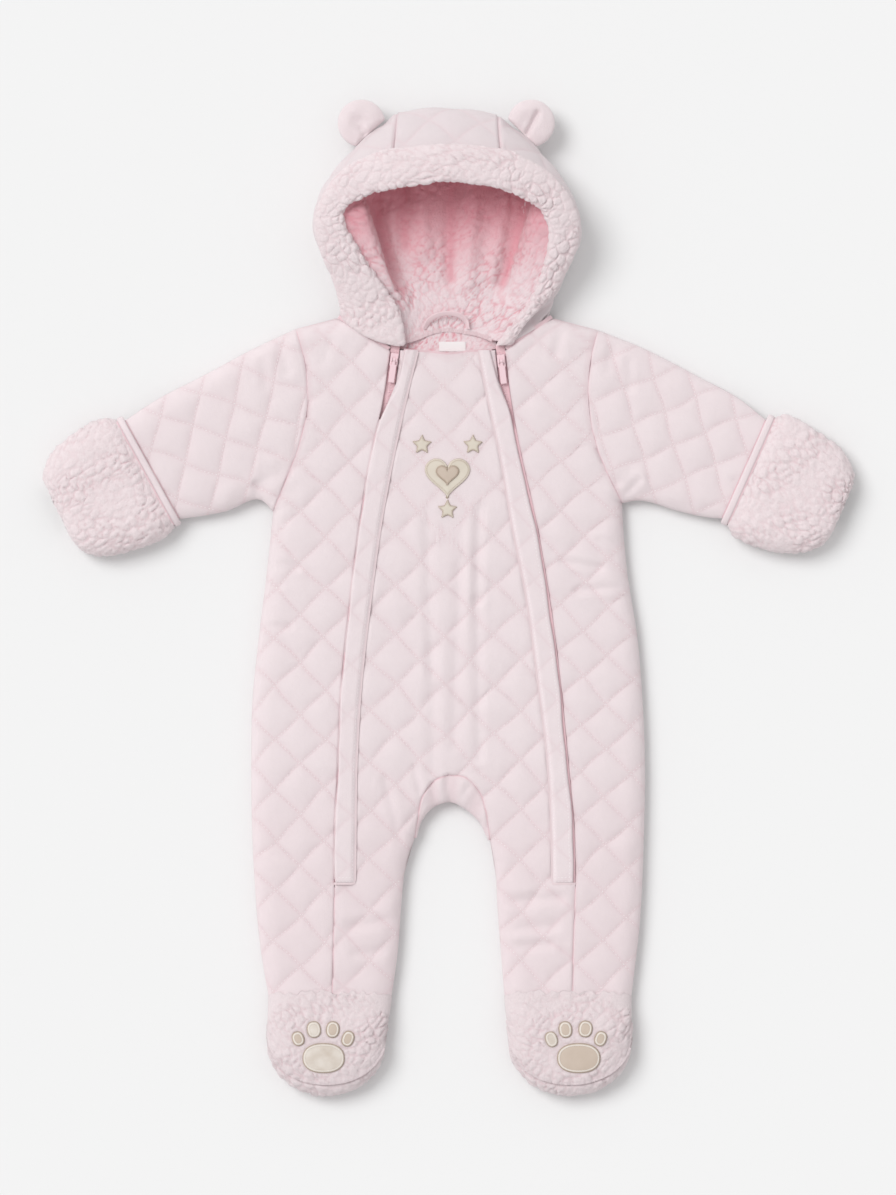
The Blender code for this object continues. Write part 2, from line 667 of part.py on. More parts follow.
def foot_heights(side, plan):
    """Heights of the bootie's upper and lower outer surfaces."""
    d = distance_to(plan, foot_outline(side))
    rise = eased((ANKLE_Y - plan[..., 1] + 2) / 34)
    seam = SEAM_Z + (FOOT_SEAM_Z - SEAM_Z) * rise
    high = FRONT_Z + 1 + (FOOT_HIGH - FRONT_Z - 1) * rise
    reach = EDGE_ROUND + (FOOT_ROUND - EDGE_ROUND) * rise
    top = seam + SEAM_EDGE + (high - seam - SEAM_EDGE) * quarter_round(d / reach)
    low = (seam - SEAM_EDGE) * (1 - quarter_round(d / BACK_ROUND))
    return top, low, seam


def make_bootie(side):
    """A bootie: an upper over the foot, and a sole that wraps up round the toes."""
    plan = foot_plan(side, FOOT_DOWN)
    top, _, seam = foot_heights(side, plan)
    inside = np.maximum(seam + HALF_GAP, top - BOOTIE_WALL)
    upper = wall(f"bootie_upper_{side}", plan, top, inside, Finish.sherpa)

    plan = foot_plan(side, FOOT_DOWN + TOE_DOWN)
    top, low, seam = foot_heights(side, plan)
    under = len(FOOT_DOWN)
    top[:under] = np.minimum(seam[:under] - HALF_GAP, low[:under] + BOOTIE_WALL)
    wall(f"bootie_sole_{side}", plan, top, low, Finish.sherpa)

    for number, (center, size, turn) in enumerate(PADS[side]):
        name = f"paw_pad_{side}" if number == 0 else f"paw_toe_{side}_{number}"
        patch_on(name, upper, blob(center, size, turn, 12 if number == 0 else 8, 2.3), PAD, Finish.satin)


# ================================================================ zips
def make_flap(side):
    """A zip guard flap: it lies on the front centre and hides the zip below its open top."""
    left = side == "left"
    sign = 1 if left else -1
    keep = ROWS >= ZIP_END_Y - 0.5
    rows = ROWS[keep]
    panel = center_columns(left)[keep][:, :2]
    panel_z = front_height(panel) + GAP
    panel_edge, seam = panel[:, 0, 0], panel[:, 1, 0]
    reveal = np.interp(-rows, [-y for y, _ in FLAP_REVEAL], [r for _, r in FLAP_REVEAL])
    free_edge = zip_x(rows, 1 if left else 2) + sign * reveal
    drawn_back = sign * (free_edge - panel_edge) > 0
    middle = np.where(drawn_back, (free_edge + seam) / 2, panel_edge)
    x = np.stack([free_edge, middle, seam], axis=1)
    share = np.maximum((x - panel_edge[:, None]) / (seam - panel_edge)[:, None], 0)
    low = panel_z[:, :1] + share * (panel_z[:, 1:] - panel_z[:, :1])
    plan = np.stack([x, np.repeat(rows[:, None], 3, axis=1)], axis=-1)
    wall(f"zip_flap_{side}", plan, low + FLAP * np.array(FLAP_SHAPE), low, Finish.plain)


def make_tape(side):
    """The tape and closed teeth of a zip, in the channel between two front panels."""
    left = side == "left"
    sign = 1 if left else -1
    keep = ROWS >= ZIP_END_Y - 0.5
    rows = ROWS[keep]
    edge = zip_x(rows, 1 if left else 2)
    plan = np.stack([np.stack([edge + sign * x, rows], axis=1) for x in TAPE_ACROSS], axis=1)
    top = front_height(plan) - TAPE_DROP
    top[:, 1:3] += TEETH_RISE
    wall(f"zip_tape_{side}", plan, top, top - TAPE, Finish.tape)


SLIDER_Y = {"left": 198.0, "right": 197.0}
SLIDER_LEAD = 20.0  # a slider points at its zip this far ahead
SLIDER = {"wide": 6.6, "long": 11.0, "high": 3.4}
POST = {"wide": 0.9, "long": 3.4, "high": 3.9, "sunk": 0.7, "apart": 4.0}
PIN = 1.2
PIN_RISE = 1.9  # the pin's axis above the slider's top
TAB = {
    "wide": 5.0, "long": 19.0, "grip_from": 4.0, "thick": 1.5, "neck": 5.0, "neck_middle": 3.3,
    "eye": 3.2, "bore": 1.9, "eye_wide": 2.4,
}
TAB_DROOP = math.radians(7)


def box(name, size, center):
    """A plastic box with softened edges."""
    shape = bmesh.new()
    bmesh.ops.create_cube(shape, size=1)
    bmesh.ops.scale(shape, vec=[s * MM for s in size], verts=shape.verts)
    bmesh.ops.bevel(
        shape, geom=shape.edges[:], offset=0.18 * min(size) * MM, segments=1, affect="EDGES",
        clamp_overlap=True,
    )
    bmesh.ops.translate(shape, vec=[c * MM for c in center], verts=shape.verts)
    return hard_piece(name, shape)


def rod(name, diameter, length, height, sides=12):
    """A round plastic rod along X, at a height above the origin."""
    shape = bmesh.new()
    bmesh.ops.create_cone(
        shape, cap_ends=True, segments=sides, radius1=diameter / 2 * MM, radius2=diameter / 2 * MM,
        depth=length * MM,
    )
    for v in shape.verts:
        v.co = Vector((v.co.z, v.co.y, v.co.x + height * MM))
    bmesh.ops.recalc_face_normals(shape, faces=shape.faces)
    return hard_piece(name, shape)


def hard_piece(name, shape):
    """An object from a finished bmesh."""
    mesh = bpy.data.meshes.new(name)
    shape.to_mesh(mesh)
    shape.free()
    mesh.materials.append(Finish.plastic)
    made = bpy.data.objects.new(name, mesh)
    bpy.context.scene.collection.objects.link(made)
    return made


def combine(target, tools, operation):
    """Applies tools to a target with exact Booleans, and removes them."""
    for tool in tools:
        cut = target.modifiers.new(operation, "BOOLEAN")
        cut.operation = operation
        cut.solver = "EXACT"
        cut.object = tool
    graph = bpy.context.evaluated_depsgraph_get()
    done = bpy.data.meshes.new_from_object(target.evaluated_get(graph))
    target.modifiers.clear()
    old, target.data = target.data, done
    bpy.data.meshes.remove(old)
    for tool in tools:
        bpy.data.objects.remove(tool)
    target.data.shade_smooth()
    target.data.set_sharp_from_angle(angle=math.radians(35))


def make_slider(side):
    """A zip slider with two ears and a pin, and its pull tab lying towards the feet."""
    left = side == "left"
    sign = 1 if left else -1
    column = 1 if left else 2
    y = SLIDER_Y[side]
    x, ahead = zip_x(np.array([y, y - SLIDER_LEAD]), column) + sign * CHANNEL / 2
    on_teeth = front_height(np.array([x, y])) - TAPE_DROP + TEETH_RISE + GAP

    place = bpy.data.objects.new(f"zip_place_{side}", None)
    bpy.context.scene.collection.objects.link(place)
    place.location = Vector((x, y, on_teeth)) * MM
    place.rotation_euler = (0, 0, math.atan2(ahead - x, SLIDER_LEAD))

    high = SLIDER["high"]
    body = box(f"zip_slider_{side}", (SLIDER["wide"], SLIDER["long"], high), (0, 0, high / 2))
    post_size = (POST["wide"], POST["long"], POST["high"])
    post_z = high - POST["sunk"] + POST["high"] / 2
    posts = [box("post", post_size, (end * POST["apart"] / 2, 0, post_z)) for end in (-1, 1)]
    pin = rod("pin", PIN, POST["apart"] + 0.4, high + PIN_RISE)
    combine(body, [*posts, pin], "UNION")
    body.parent = place

    hinge = bpy.data.objects.new(f"zip_hinge_{side}", None)
    bpy.context.scene.collection.objects.link(hinge)
    hinge.parent = place
    hinge.location = Vector((0, 0, high + PIN_RISE)) * MM
    hinge.rotation_euler = (TAB_DROOP, 0, 0)
    grip_middle = (TAB["long"] + TAB["grip_from"]) / 2
    grip_size = (TAB["wide"], TAB["long"] - TAB["grip_from"], TAB["thick"])
    tab = box(f"zip_pull_{side}", grip_size, (0, -grip_middle, 0))
    neck = box("neck", (TAB["eye_wide"], TAB["neck"], TAB["thick"]), (0, -TAB["neck_middle"], 0))
    eye = rod("eye", TAB["eye"], TAB["eye_wide"], 0.0, 16)
    combine(tab, [neck, eye], "UNION")
    combine(tab, [rod("bore", TAB["bore"], 2 * TAB["eye_wide"], 0.0, 16)], "DIFFERENCE")
    tab.parent = hinge


# ================================================================ hood
BRIM = [  # inner edge x, y, z; outer edge x, y, z; outermost point of the hood below it x, y, z
    (-34, 209, 21, -87, 231, 15, -89, 233.6, 9),
    (-40, 240, 27, -90, 248, 21, -88, 247, 10),
    (-55, 261, 34, -96, 267, 28, -94, 267, 13),
    (-70, 283, 41, -104, 285, 36, -102, 285, 16),
    (-83, 306, 47, -109, 304, 42, -108, 304, 18),
    (-85, 318, 50, -107, 321, 46, -107, 322, 18),
    (-77, 326, 54, -98, 340, 51, -99, 343, 19),
    (-61, 333, 58, -81, 356, 55, -86, 362, 20),
    (-48, 336, 61, -64, 364, 58, -66, 383, 20),
    (-35, 338, 63, -47, 369, 60, -43, 402, 20),
    (0, 342, 65, 0, 373, 62, 0, 406.5, 20),
    (34, 338.5, 63, 46, 369, 60, 43, 400, 20),
    (47, 335, 61, 63, 362, 58, 66, 381, 20),
    (60, 330, 58, 81, 352, 55, 86, 358, 20),
    (73, 322, 54, 97, 336, 50, 98, 340, 19),
    (81, 311, 49, 107, 315, 45, 107, 316, 18),
    (83, 294, 43, 108, 295, 39, 107, 295, 17),
    (79, 272, 36, 100, 275, 31, 100, 276, 15),
    (71, 251, 29, 87, 253, 25, 92, 254, 12),
    (57, 231, 24, 69, 234, 22, 88, 243, 10),
    (40, 212.5, 21, 53.5, 213, 20, 87, 235.2, 9),
]
SEAM_STATIONS = (9, 11)  # where the hood's two seams meet the brim
BRIM_THICK = 10.0
BRIM_SIDES = 8
BRIM_SQUARE = (0.7, 0.9)  # powers that square its section off, across and upwards
HOOD_WALL = 6.5
HOOD_ACROSS = (0, 0.12, 0.26, 0.42, 0.6, 0.8, 1)
HOOD_MIDDLE = np.array([0.0, 300.0, 25.0])
BRIM_LAP = 3.0  # the brim overhangs the hood's cloth by this much
UNDER_BRIM = 0.5
HOOD_SWELL = 5.0  # how far the cloth bellies out between the brim and its widest line
HOOD_TUCK = 13.0  # how far in from its widest line the cloth meets the ground
SEAM_SPACE = 0.8
NAPE_Y = 237.0  # below this the hood's sides lie over the back's shoulders
UNDER_SEAM = {"left": [(-44, 396, 5), (-43, 384, 0), (-40, 300, 0), (-40, 231.9, 0)],
              "right": [(44, 394, 5), (43, 382, 0), (40, 300, 0), (40, 231.9, 0)]}
LINING_WALL = 3.2
LINING = [  # two points on the way in from each inner edge: x, y, z; x, y, z; then y on the spine
    (-26, 215, 14.5, -14, 221, 12.6, 222.5),
    (-32, 243, 17, -20, 243, 12.6, 238),
    (-46, 262, 30, -36, 262, 13, 254),
    (-55, 281, 35, -46, 280, 13, 270),
    (-63, 303, 40, -53, 300, 13, 290),
    (-67, 317, 43, -57, 316, 13, 308),
    (-69, 331, 40, -60, 336, 14, 326),
    (-58, 348, 36, -55, 358, 15, 344),
    (-48, 358, 39, -44, 376, 16, 358),
    (-34, 366, 40, -32, 386, 17, 368),
    (0, 370, 41, 0, 390, 17, 376),
    (33, 366, 40, 32, 385, 17, 368),
    (47, 358, 39, 45, 374, 16, 358),
    (59, 347, 36, 58, 356, 15, 344),
    (71, 330, 40, 61, 336, 15, 326),
    (71, 310, 38, 54, 314, 12.6, 308),
    (71, 292, 34, 49, 296, 12.6, 290),
    (66, 270, 28, 46, 276, 12.6, 270),
    (59, 250, 22, 40, 256, 12.8, 254),
    (46, 232, 17, 28, 236, 12.8, 238),
    (31, 216, 14.5, 16, 221, 12.6, 222.5),
]
SPINE_X, SPINE_Z = 0.0, 12.6
LINING_NECK_Z = 17.0  # where it starts at the neck
LINING_MIDDLE = np.array([0.0, 290.0, 34.0])
LINING_ACROSS = (0, 0.14, 0.3, 0.46, 0.64, 0.82, 1)

EAR = {"radius": 19.5, "half": 6.4, "z": 20.6, "clear": -0.3, "dimple": 2.2, "sides": 16}
EARS = {"left": ((-71, 393), (-66, 383), (43, 40)), "right": ((69, 393), (66, 381), (43, -42))}

NECK_LOW = [(-29, 206.9), (-14, 205.1), (1, 203.6), (15, 205.3), (31, 206.9)]
NECK_HIGH = [(-26.5, 212.5), (-13, 219.6), (0, 221.6), (14, 219.6), (29.5, 212.5)]
NECK_TOP = 12.2
LABEL = {"at": (4, 209.2), "size": (22, 8.2), "thick": 0.5}
LOOP = [(-19, 224, 14.6), (-15, 231, 17.5), (-8, 235, 20), (1, 236.3, 20.6), (9, 235, 20), (15, 230.5, 17.5),
        (17, 224, 14.6)]
LOOP_WIDE, LOOP_THICK, LOOP_LEAN = 4.6, 1.2, math.radians(35)

HEART = {"at": (0, 103), "size": (37, 34), "thick": 1.4}
INNER_HEART = {"at": (0, 104), "size": (19, 17), "thick": 1.0}
STARS = {"left": (-21, 128), "right": (21, 128), "low": (0, 74.5)}
STAR = {"wide": 16.5, "waist": 0.5, "thick": 1.2}


def brim_frames():
    """Middle, outward direction and upward direction of the brim at each station."""
    table = np.array(BRIM, float)
    inner, outer = table[:, 0:3], table[:, 3:6]
    middle = (inner + outer) / 2
    out = outer - inner
    out /= np.linalg.norm(out, axis=1, keepdims=True)
    run = np.gradient(middle, axis=0)
    up = np.cross(out, run)
    up /= np.linalg.norm(up, axis=1, keepdims=True)
    up *= np.sign(up[:, 2:3])
    return inner, outer, middle, out, up


def make_brim():
    """The brim: the sherpa lining turned out round the face opening."""
    inner, outer, middle, out, up = brim_frames()
    half = np.linalg.norm(outer - inner, axis=1)[:, None] / 2
    angles = np.linspace(0, 2 * math.pi, BRIM_SIDES, endpoint=False)
    rings = []
    for a in angles:
        c, s = math.cos(a), math.sin(a)
        reach = math.copysign(abs(c) ** BRIM_SQUARE[0], c)
        rise = math.copysign(abs(s) ** BRIM_SQUARE[1], s)
        rings.append(middle + out * half * reach + up * BRIM_THICK / 2 * rise)
    rings = np.stack(rings, axis=1)
    rows, columns = rings.shape[:2]
    points = [*rings.reshape(-1, 3)]
    faces = []
    for i in range(rows - 1):
        for j in range(columns):
            k = (j + 1) % columns
            faces.append([i * columns + j, i * columns + k, (i + 1) * columns + k, (i + 1) * columns + j])
    faces.append(list(range(columns)))
    faces.append([(rows - 1) * columns + j for j in reversed(range(columns))])
    add_object("hood_brim", points, faces, Finish.sherpa)


def hood_rows():
    """The hood's outer surface: station by station, from under the brim round to the underside."""
    _, outer, _, out, up = brim_frames()
    widest = np.array(BRIM, float)[:, 6:9]
    start = outer - out * BRIM_LAP - up * (BRIM_THICK / 2 + UNDER_BRIM)
    rows = []
    first, second = SEAM_STATIONS
    for k in range(len(BRIM)):
        if k <= first:
            end = smooth_curve(UNDER_SEAM["left"], [1 - k / first])[0]
        elif k >= second:
            end = smooth_curve(UNDER_SEAM["right"], [(k - second) / first])[0]
        else:
            end = (np.array(UNDER_SEAM["left"][0]) + np.array(UNDER_SEAM["right"][0])) / 2
        outward = (widest[k] - end) * [1, 1, 0]
        reach = np.linalg.norm(outward)
        outward /= max(reach, 1e-6)
        floor = widest[k] - outward * min(HOOD_TUCK, 0.6 * reach)
        floor[2] = 0.0 if reach > 20 else min(end[2] + 2, widest[k][2])
        swell = min(HOOD_SWELL, 0.2 * np.linalg.norm(start[k] - widest[k]))
        swell *= 0 < k < len(BRIM) - 1
        between = (start[k] + widest[k]) / 2 + outward * swell
        row = smooth_curve([start[k], between, widest[k], floor, end], HOOD_ACROSS)
        row[:, 2] = np.maximum(row[:, 2], 0)
        rows.append(row)
    return np.array(rows)


def hood_inside(grid):
    """The inner surface of a hood panel, a wall's thickness in from its outer one."""
    n = normals(grid)
    facing = np.sign(((grid - HOOD_MIDDLE) * n).sum(-1).mean())
    inner = grid - n * facing * HOOD_WALL
    low = np.maximum(0.4, 1 - grid[..., 2] / 12.0) * HOOD_WALL
    inner[..., 2] = np.maximum(inner[..., 2], np.minimum(grid[..., 2] + low, HOOD_WALL))
    over_back = (grid[..., 1] < NAPE_Y) & (grid[..., 2] > SEAM_Z - 1)
    inner[..., 2] = np.where(over_back, np.maximum(inner[..., 2], SEAM_Z + GAP), inner[..., 2])
    return inner


def make_hood():
    """The hood's two sides, and the centre strip from the brim over the crown to the nape."""
    rows = hood_rows()
    first, second = SEAM_STATIONS
    left, right = rows[: first + 1], rows[second:]
    left_in, right_in = hood_inside(left), hood_inside(right)
    left_in[0, :, 1] = np.maximum(left_in[0, :, 1], left[0, :, 1] + 0.2)
    right_in[-1, :, 1] = np.maximum(right_in[-1, :, 1], right[-1, :, 1] + 0.2)
    Sheet().grid(left, left_in).build("hood_side_left", Finish.quilted)
    Sheet().grid(right, right_in).build("hood_side_right", Finish.quilted)

    apart = np.array([SEAM_SPACE, 0, 0])
    west = np.concatenate([left[-1], left[-2::-1, -1]]) + apart
    west_in = np.concatenate([left_in[-1], left_in[-2::-1, -1]]) + apart
    east = np.concatenate([right[0], right[1:, -1]]) - apart
    east_in = np.concatenate([right_in[0], right_in[1:, -1]]) - apart
    over = rows[first + 1][:-1]
    under = (west[len(over):] + east[len(over):]) / 2
    middle = np.concatenate([over, under])
    t = np.array([0, 0.25, 0.5, 0.75, 1])[None, :, None]
    bend = middle[:, None] - (west + east)[:, None] / 2
    grid = west[:, None] * (1 - t) + east[:, None] * t + bend * 4 * t * (1 - t)
    inner = hood_inside(grid)
    inner[:, 0], inner[:, -1] = west_in, east_in
    Sheet().grid(grid, inner).build("hood_center_panel", Finish.quilted)


def make_lining():
    """The hood's lining: a bag from the brim's inner edge under the crown and along the back."""
    inner, _, _, out, up = brim_frames()
    path = np.array(LINING, float)
    under_crown = np.clip((path[:, 1] - inner[:, 1]) / 8.0, 0, 1)[:, None]
    start = inner + out * (5.4 * under_crown - 2.1) - up * (2.2 + 6.8 * under_crown)
    start[[0, -1], 2] = LINING_NECK_Z
    rows = []
    for k in range(len(path)):
        spine = np.array([SPINE_X, path[k, 6], SPINE_Z])
        points = [start[k], path[k, 0:3], path[k, 3:6], spine]
        rows.append(smooth_curve(points, LINING_ACROSS))
    grid = np.array(rows)
    grid[..., 2] = np.maximum(grid[..., 2], SPINE_Z)
    n = normals(grid)
    facing = np.sign(((LINING_MIDDLE - grid) * n).sum(-1).mean())
    hidden = grid - n * facing * LINING_WALL
    hidden[:, -1] = grid[:, -1] - [0, 0, LINING_WALL]
    hidden[[0, -1]] = grid[[0, -1]] - [0, 0, LINING_WALL]
    Sheet().grid(grid, hidden).build("hood_lining", Finish.lining)


def make_ear(side, center, base, along):
    """A stuffed ear: a front and a back piece, cut straight where they meet the hood."""
    center, base = np.array(center, float), np.array(base, float)
    along = np.array(along, float) / np.linalg.norm(along)
    outward = np.array([-along[1], along[0]])
    outward *= np.sign((center - base) @ outward)
    angles = np.linspace(0, 2 * math.pi, EAR["sides"], endpoint=False)
    way = np.stack([np.cos(angles), np.sin(angles)], axis=1)
    to_base = (center - base) @ outward - EAR["clear"]
    toward = np.maximum(-(way @ outward), 1e-6)
    radius = np.minimum(EAR["radius"], to_base / toward)
    shares = np.array([1, 0.9, 0.62])
    rings = center + way[None] * (radius[None] * shares[:, None])[..., None]
    rise = (EAR["half"] * np.sqrt(1 - shares**2) + 0.8)[:, None]
    count = len(angles)
    for name, up in (("front", 1), ("back", -1)):
        skin = with_height(rings, EAR["z"] + up * (HALF_GAP + rise + 0 * rings[..., 0])).reshape(-1, 3)
        flat = with_height(rings[0], EAR["z"] + up * HALF_GAP)
        top = [*center, EAR["z"] + up * (HALF_GAP + EAR["half"] + 0.8 - EAR["dimple"])]
        points = [*skin, top, *flat, [*center, EAR["z"] + up * HALF_GAP]]
        peak, rim, faces = 3 * count, 3 * count + 1, []
        for j in range(count):
            k = (j + 1) % count
            faces += [[j, k, count + k, count + j], [count + j, count + k, 2 * count + k, 2 * count + j]]
            faces += [[2 * count + j, 2 * count + k, peak], [rim + k, rim + j, rim + count]]
            faces += [[k, j, rim + j, rim + k]]
        add_object(f"ear_{name}_{side}", points, faces, Finish.plain)


def make_neck():
    """The neck lining below the hood, the blank label on it and the hanger loop."""
    low = smooth_curve(NECK_LOW, even(5))
    high = smooth_curve(NECK_HIGH, even(5))
    plan = patch(low, high, (0, 0.5, 1))
    lining = wall("neck_lining", plan, NECK_TOP, SEAM_Z + GAP, Finish.lining)
    patch_on("neck_label", lining, blob(LABEL["at"], LABEL["size"], 0, 8, 9.0), LABEL["thick"], Finish.label)

    path = smooth_curve(LOOP, even(13))
    run = np.gradient(path, axis=0)
    run /= np.linalg.norm(run, axis=1, keepdims=True)
    lean = np.array([0.0, math.cos(LOOP_LEAN), math.sin(LOOP_LEAN)])
    wide = lean - run * (run @ lean)[:, None]
    wide /= np.linalg.norm(wide, axis=1, keepdims=True)
    face = np.cross(run, wide)
    grid = np.stack([path - wide * LOOP_WIDE / 2, path + wide * LOOP_WIDE / 2], axis=1)
    Sheet().grid(grid + face[:, None] * LOOP_THICK / 2, grid - face[:, None] * LOOP_THICK / 2).build(
        "hanger_loop", Finish.plain)


def heart(center, size, count=16):
    """The outline of a plain heart."""
    t = np.linspace(0, 2 * math.pi, count, endpoint=False)
    x = np.sin(t) ** 3
    y = (13 * np.cos(t) - 5 * np.cos(2 * t) - 2 * np.cos(3 * t) - np.cos(4 * t)) / 15
    return np.stack([x * size[0] / 2, y * size[1] / 2], axis=1)[::-1] + np.array(center, float)


def star(center, wide, waist):
    """The outline of a plain five-pointed star, point up."""
    angles = math.pi / 2 + np.arange(10) * math.pi / 5
    radius = wide / 2 * np.where(np.arange(10) % 2, waist, 1.0)
    return np.stack([radius * np.cos(angles), radius * np.sin(angles)], axis=1) + np.array(center, float)


def make_motif(front):
    """A plain appliqué on the chest: a heart on a heart, with three stars round it."""
    outline = heart(HEART["at"], HEART["size"])
    outer = patch_on("motif_heart", front, outline, HEART["thick"], Finish.motif)
    outline = heart(INNER_HEART["at"], INNER_HEART["size"])
    patch_on("motif_heart_inner", outer, outline, INNER_HEART["thick"], Finish.satin)
    for place, at in STARS.items():
        outline = star(at, STAR["wide"], STAR["waist"])
        patch_on(f"motif_star_{place}", front, outline, STAR["thick"], Finish.motif)


# ================================================================ everything
def clear_scene():
    """Starts from an empty scene."""
    for old in list(bpy.data.objects):
        bpy.data.objects.remove(old)


def main():
    clear_scene()
    Finish.make()
    front = make_front_center()
    for side in ("left", "right"):
        front_wall(f"side_front_{side}", side_front_plan(side == "left"))
    make_back()
    make_gusset()
    for side in ("left", "right"):
        make_sleeve(side)
        make_cuff(side)
        make_bootie(side)
        make_tape(side)
        make_flap(side)
        make_slider(side)
    make_brim()
    make_hood()
    make_lining()
    for side, (center, base, along) in EARS.items():
        make_ear(side, center, base, along)
    make_neck()
    make_motif(front)


main()
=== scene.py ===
"""Looks of a baby's quilted snowsuit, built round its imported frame.

Tables and shapes are in millimetres, and meshes are made in metres. Left and right mean -X and
+X, as the suit is seen from above, with the hood towards +Y and the front facing up.
"""

import logging
import math
from dataclasses import dataclass, field
from enum import Enum
from typing import Sequence

import bpy
import numpy as np
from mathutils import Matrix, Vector
from mathutils.bvhtree import BVHTree


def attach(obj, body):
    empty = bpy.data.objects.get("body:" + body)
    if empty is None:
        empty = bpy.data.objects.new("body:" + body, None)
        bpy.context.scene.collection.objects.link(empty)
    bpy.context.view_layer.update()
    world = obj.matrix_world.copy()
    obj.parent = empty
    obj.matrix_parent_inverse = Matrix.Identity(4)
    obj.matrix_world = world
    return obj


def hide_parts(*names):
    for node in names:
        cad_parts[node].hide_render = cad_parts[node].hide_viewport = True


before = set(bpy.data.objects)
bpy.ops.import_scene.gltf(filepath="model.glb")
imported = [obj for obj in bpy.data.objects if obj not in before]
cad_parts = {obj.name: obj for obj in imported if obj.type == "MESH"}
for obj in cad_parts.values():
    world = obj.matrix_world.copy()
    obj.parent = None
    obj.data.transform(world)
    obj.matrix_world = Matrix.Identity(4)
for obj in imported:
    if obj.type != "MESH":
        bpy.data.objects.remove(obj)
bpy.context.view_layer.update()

log = logging.getLogger("snowsuit")
Array = np.ndarray
Piece = bpy.types.Object
Material = bpy.types.Material
Socket = bpy.types.NodeSocket

MM = 0.001
GAP = 0.3  # between pieces that meet
HALF_GAP = GAP / 2
BODY = "suit"
SHARP = 60.0  # edges over this angle, in degrees, are not shaded smooth


class Side(Enum):
    """The suit's two sides, as it is seen from above."""

    LEFT = "left"
    RIGHT = "right"

    def __str__(self) -> str:
        """The side as names have it."""
        return self.value

    @property
    def inward(self) -> int:
        """The sign of X towards the suit's middle."""
        return 1 if self is Side.LEFT else -1

    def pick(self, left: object, right: object) -> object:
        """The one of two things that belongs to this side."""
        return left if self is Side.LEFT else right


# ================================================================ curves and numbers
def hermite(p: Array, slope: Array, i: Array, s: Array, h: Array) -> Array:
    """Points on a smooth curve.

    Args:
        p: The curve's own points.
        slope: Its slope at each of them.
        i: The point before each place.
        s: How far on from there it is, from 0 to 1.
        h: The step to the next point.

    Returns:
        One point for each place.
    """
    start = (2 * s**3 - 3 * s**2 + 1) * p[i] + (s**3 - 2 * s**2 + s) * h * slope[i]
    return start + (3 * s**2 - 2 * s**3) * p[i + 1] + (s**3 - s**2) * h * slope[i + 1]


def run_of(line: Array) -> Array:
    """How far along a line each of its points is."""
    return np.r_[0, np.cumsum(np.linalg.norm(np.diff(line, axis=0), axis=1))]


def read_line(line: Array, run: Array, at: Array) -> Array:
    """Points of a line at the lengths at, where run says how far along its own points are."""
    return np.stack([np.interp(at, run, c) for c in line.T], axis=1)


def smooth_curve(points: Sequence, fractions: Array) -> Array:
    """Points at fractions of the length of a smooth curve through the given points."""
    p = np.array(points, float)
    chord = run_of(p)
    at = np.linspace(0, chord[-1], 24 * len(p))
    i = np.clip(np.searchsorted(chord, at, side="right") - 1, 0, len(p) - 2)
    h = (chord[i + 1] - chord[i])[:, None]
    curve = hermite(p, np.gradient(p, chord, axis=0), i, (at - chord[i])[:, None] / h, h)
    run = run_of(curve)
    return read_line(curve, run, np.array(fractions) * run[-1])


def between_rows(table: Sequence, at: Array) -> Array:
    """Rows of a table of numbers or points, read smoothly at row numbers, whole or not."""
    p = np.array(table, float)
    i = np.clip(np.asarray(at).astype(int), 0, len(p) - 2)
    s = (np.asarray(at) - i).reshape(-1, *[1] * (p.ndim - 1))
    return hermite(p, np.gradient(p, axis=0), i, s, np.ones_like(s))


def even(count: int) -> Array:
    """Fractions that split a length into equal steps."""
    return np.linspace(0, 1, count)


def turns(count: int) -> Array:
    """Angles that split a full turn into equal steps."""
    return np.linspace(0, 2 * math.pi, count, endpoint=False)


def eased(t: Array) -> Array:
    """A smooth step from 0 to 1."""
    t = np.clip(t, 0, 1)
    return t * t * (3 - 2 * t)


def quarter_round(t: Array) -> Array:
    """The height of a quarter circle at t, and 1 past it."""
    return np.sqrt(np.clip(1 - (1 - np.clip(t, 0, 1)) ** 2, 0, 1))


def bell(t: Array) -> Array:
    """A soft hump: 1 at 0, and hardly anything past 2."""
    return np.exp(-(t**2))


def power(base: float | Array, exponent: float) -> Array:
    """A power that keeps its base's sign."""
    return np.sign(base) * np.abs(base) ** exponent


def unit(v: Array) -> Array:
    """Vectors made 1 long, along the last axis."""
    return v / np.maximum(np.linalg.norm(v, axis=-1, keepdims=True), 1e-9)


def distance_to(points: Array, line: Sequence) -> Array:
    """How far plan points, in an array of any shape, are from a chain of straight pieces."""
    line = np.array(line, float)
    best = np.full(points.shape[:-1], np.inf)
    for a, b in zip(line[:-1], line[1:]):
        d = b - a
        t = np.clip(((points - a) @ d) / max(d @ d, 1e-9), 0, 1)
        off = points - a - t[..., None] * d
        best = np.minimum(best, (off * off).sum(-1))
    return np.sqrt(best)


def nearest(points: Array, lines: Sequence[Array]) -> Array:
    """How far plan points are from the nearest of some chains."""
    return np.min([distance_to(points, line) for line in lines], axis=0)


def fold_depth(plan: Array, folds: Sequence) -> Array:
    """How deep folds are at plan points; each has a faint ridge on both sides.

    Args:
        plan: The points.
        folds: For each fold x0, y0, x1, y1, half its width, and its depth.

    Returns:
        One depth for each point.
    """
    depth = np.zeros(plan.shape[:-1])
    for *line, width, deep in folds:
        d = distance_to(plan, (line[:2], line[2:])) / width
        depth += deep * (bell(d) - 0.35 * bell(d - 1.9))
    return depth


def inside(points: Array, outline: Array) -> Array:
    """Which plan points, one to a row, lie inside a closed outline."""
    odd = np.zeros(len(points), bool)
    x, y = points[:, 0], points[:, 1]
    for (x0, y0), (x1, y1) in zip(outline, np.roll(outline, -1, axis=0)):
        if y1 != y0:
            odd ^= ((y0 > y) != (y1 > y)) & (x < (x1 - x0) * (y - y0) / (y1 - y0) + x0)
    return odd


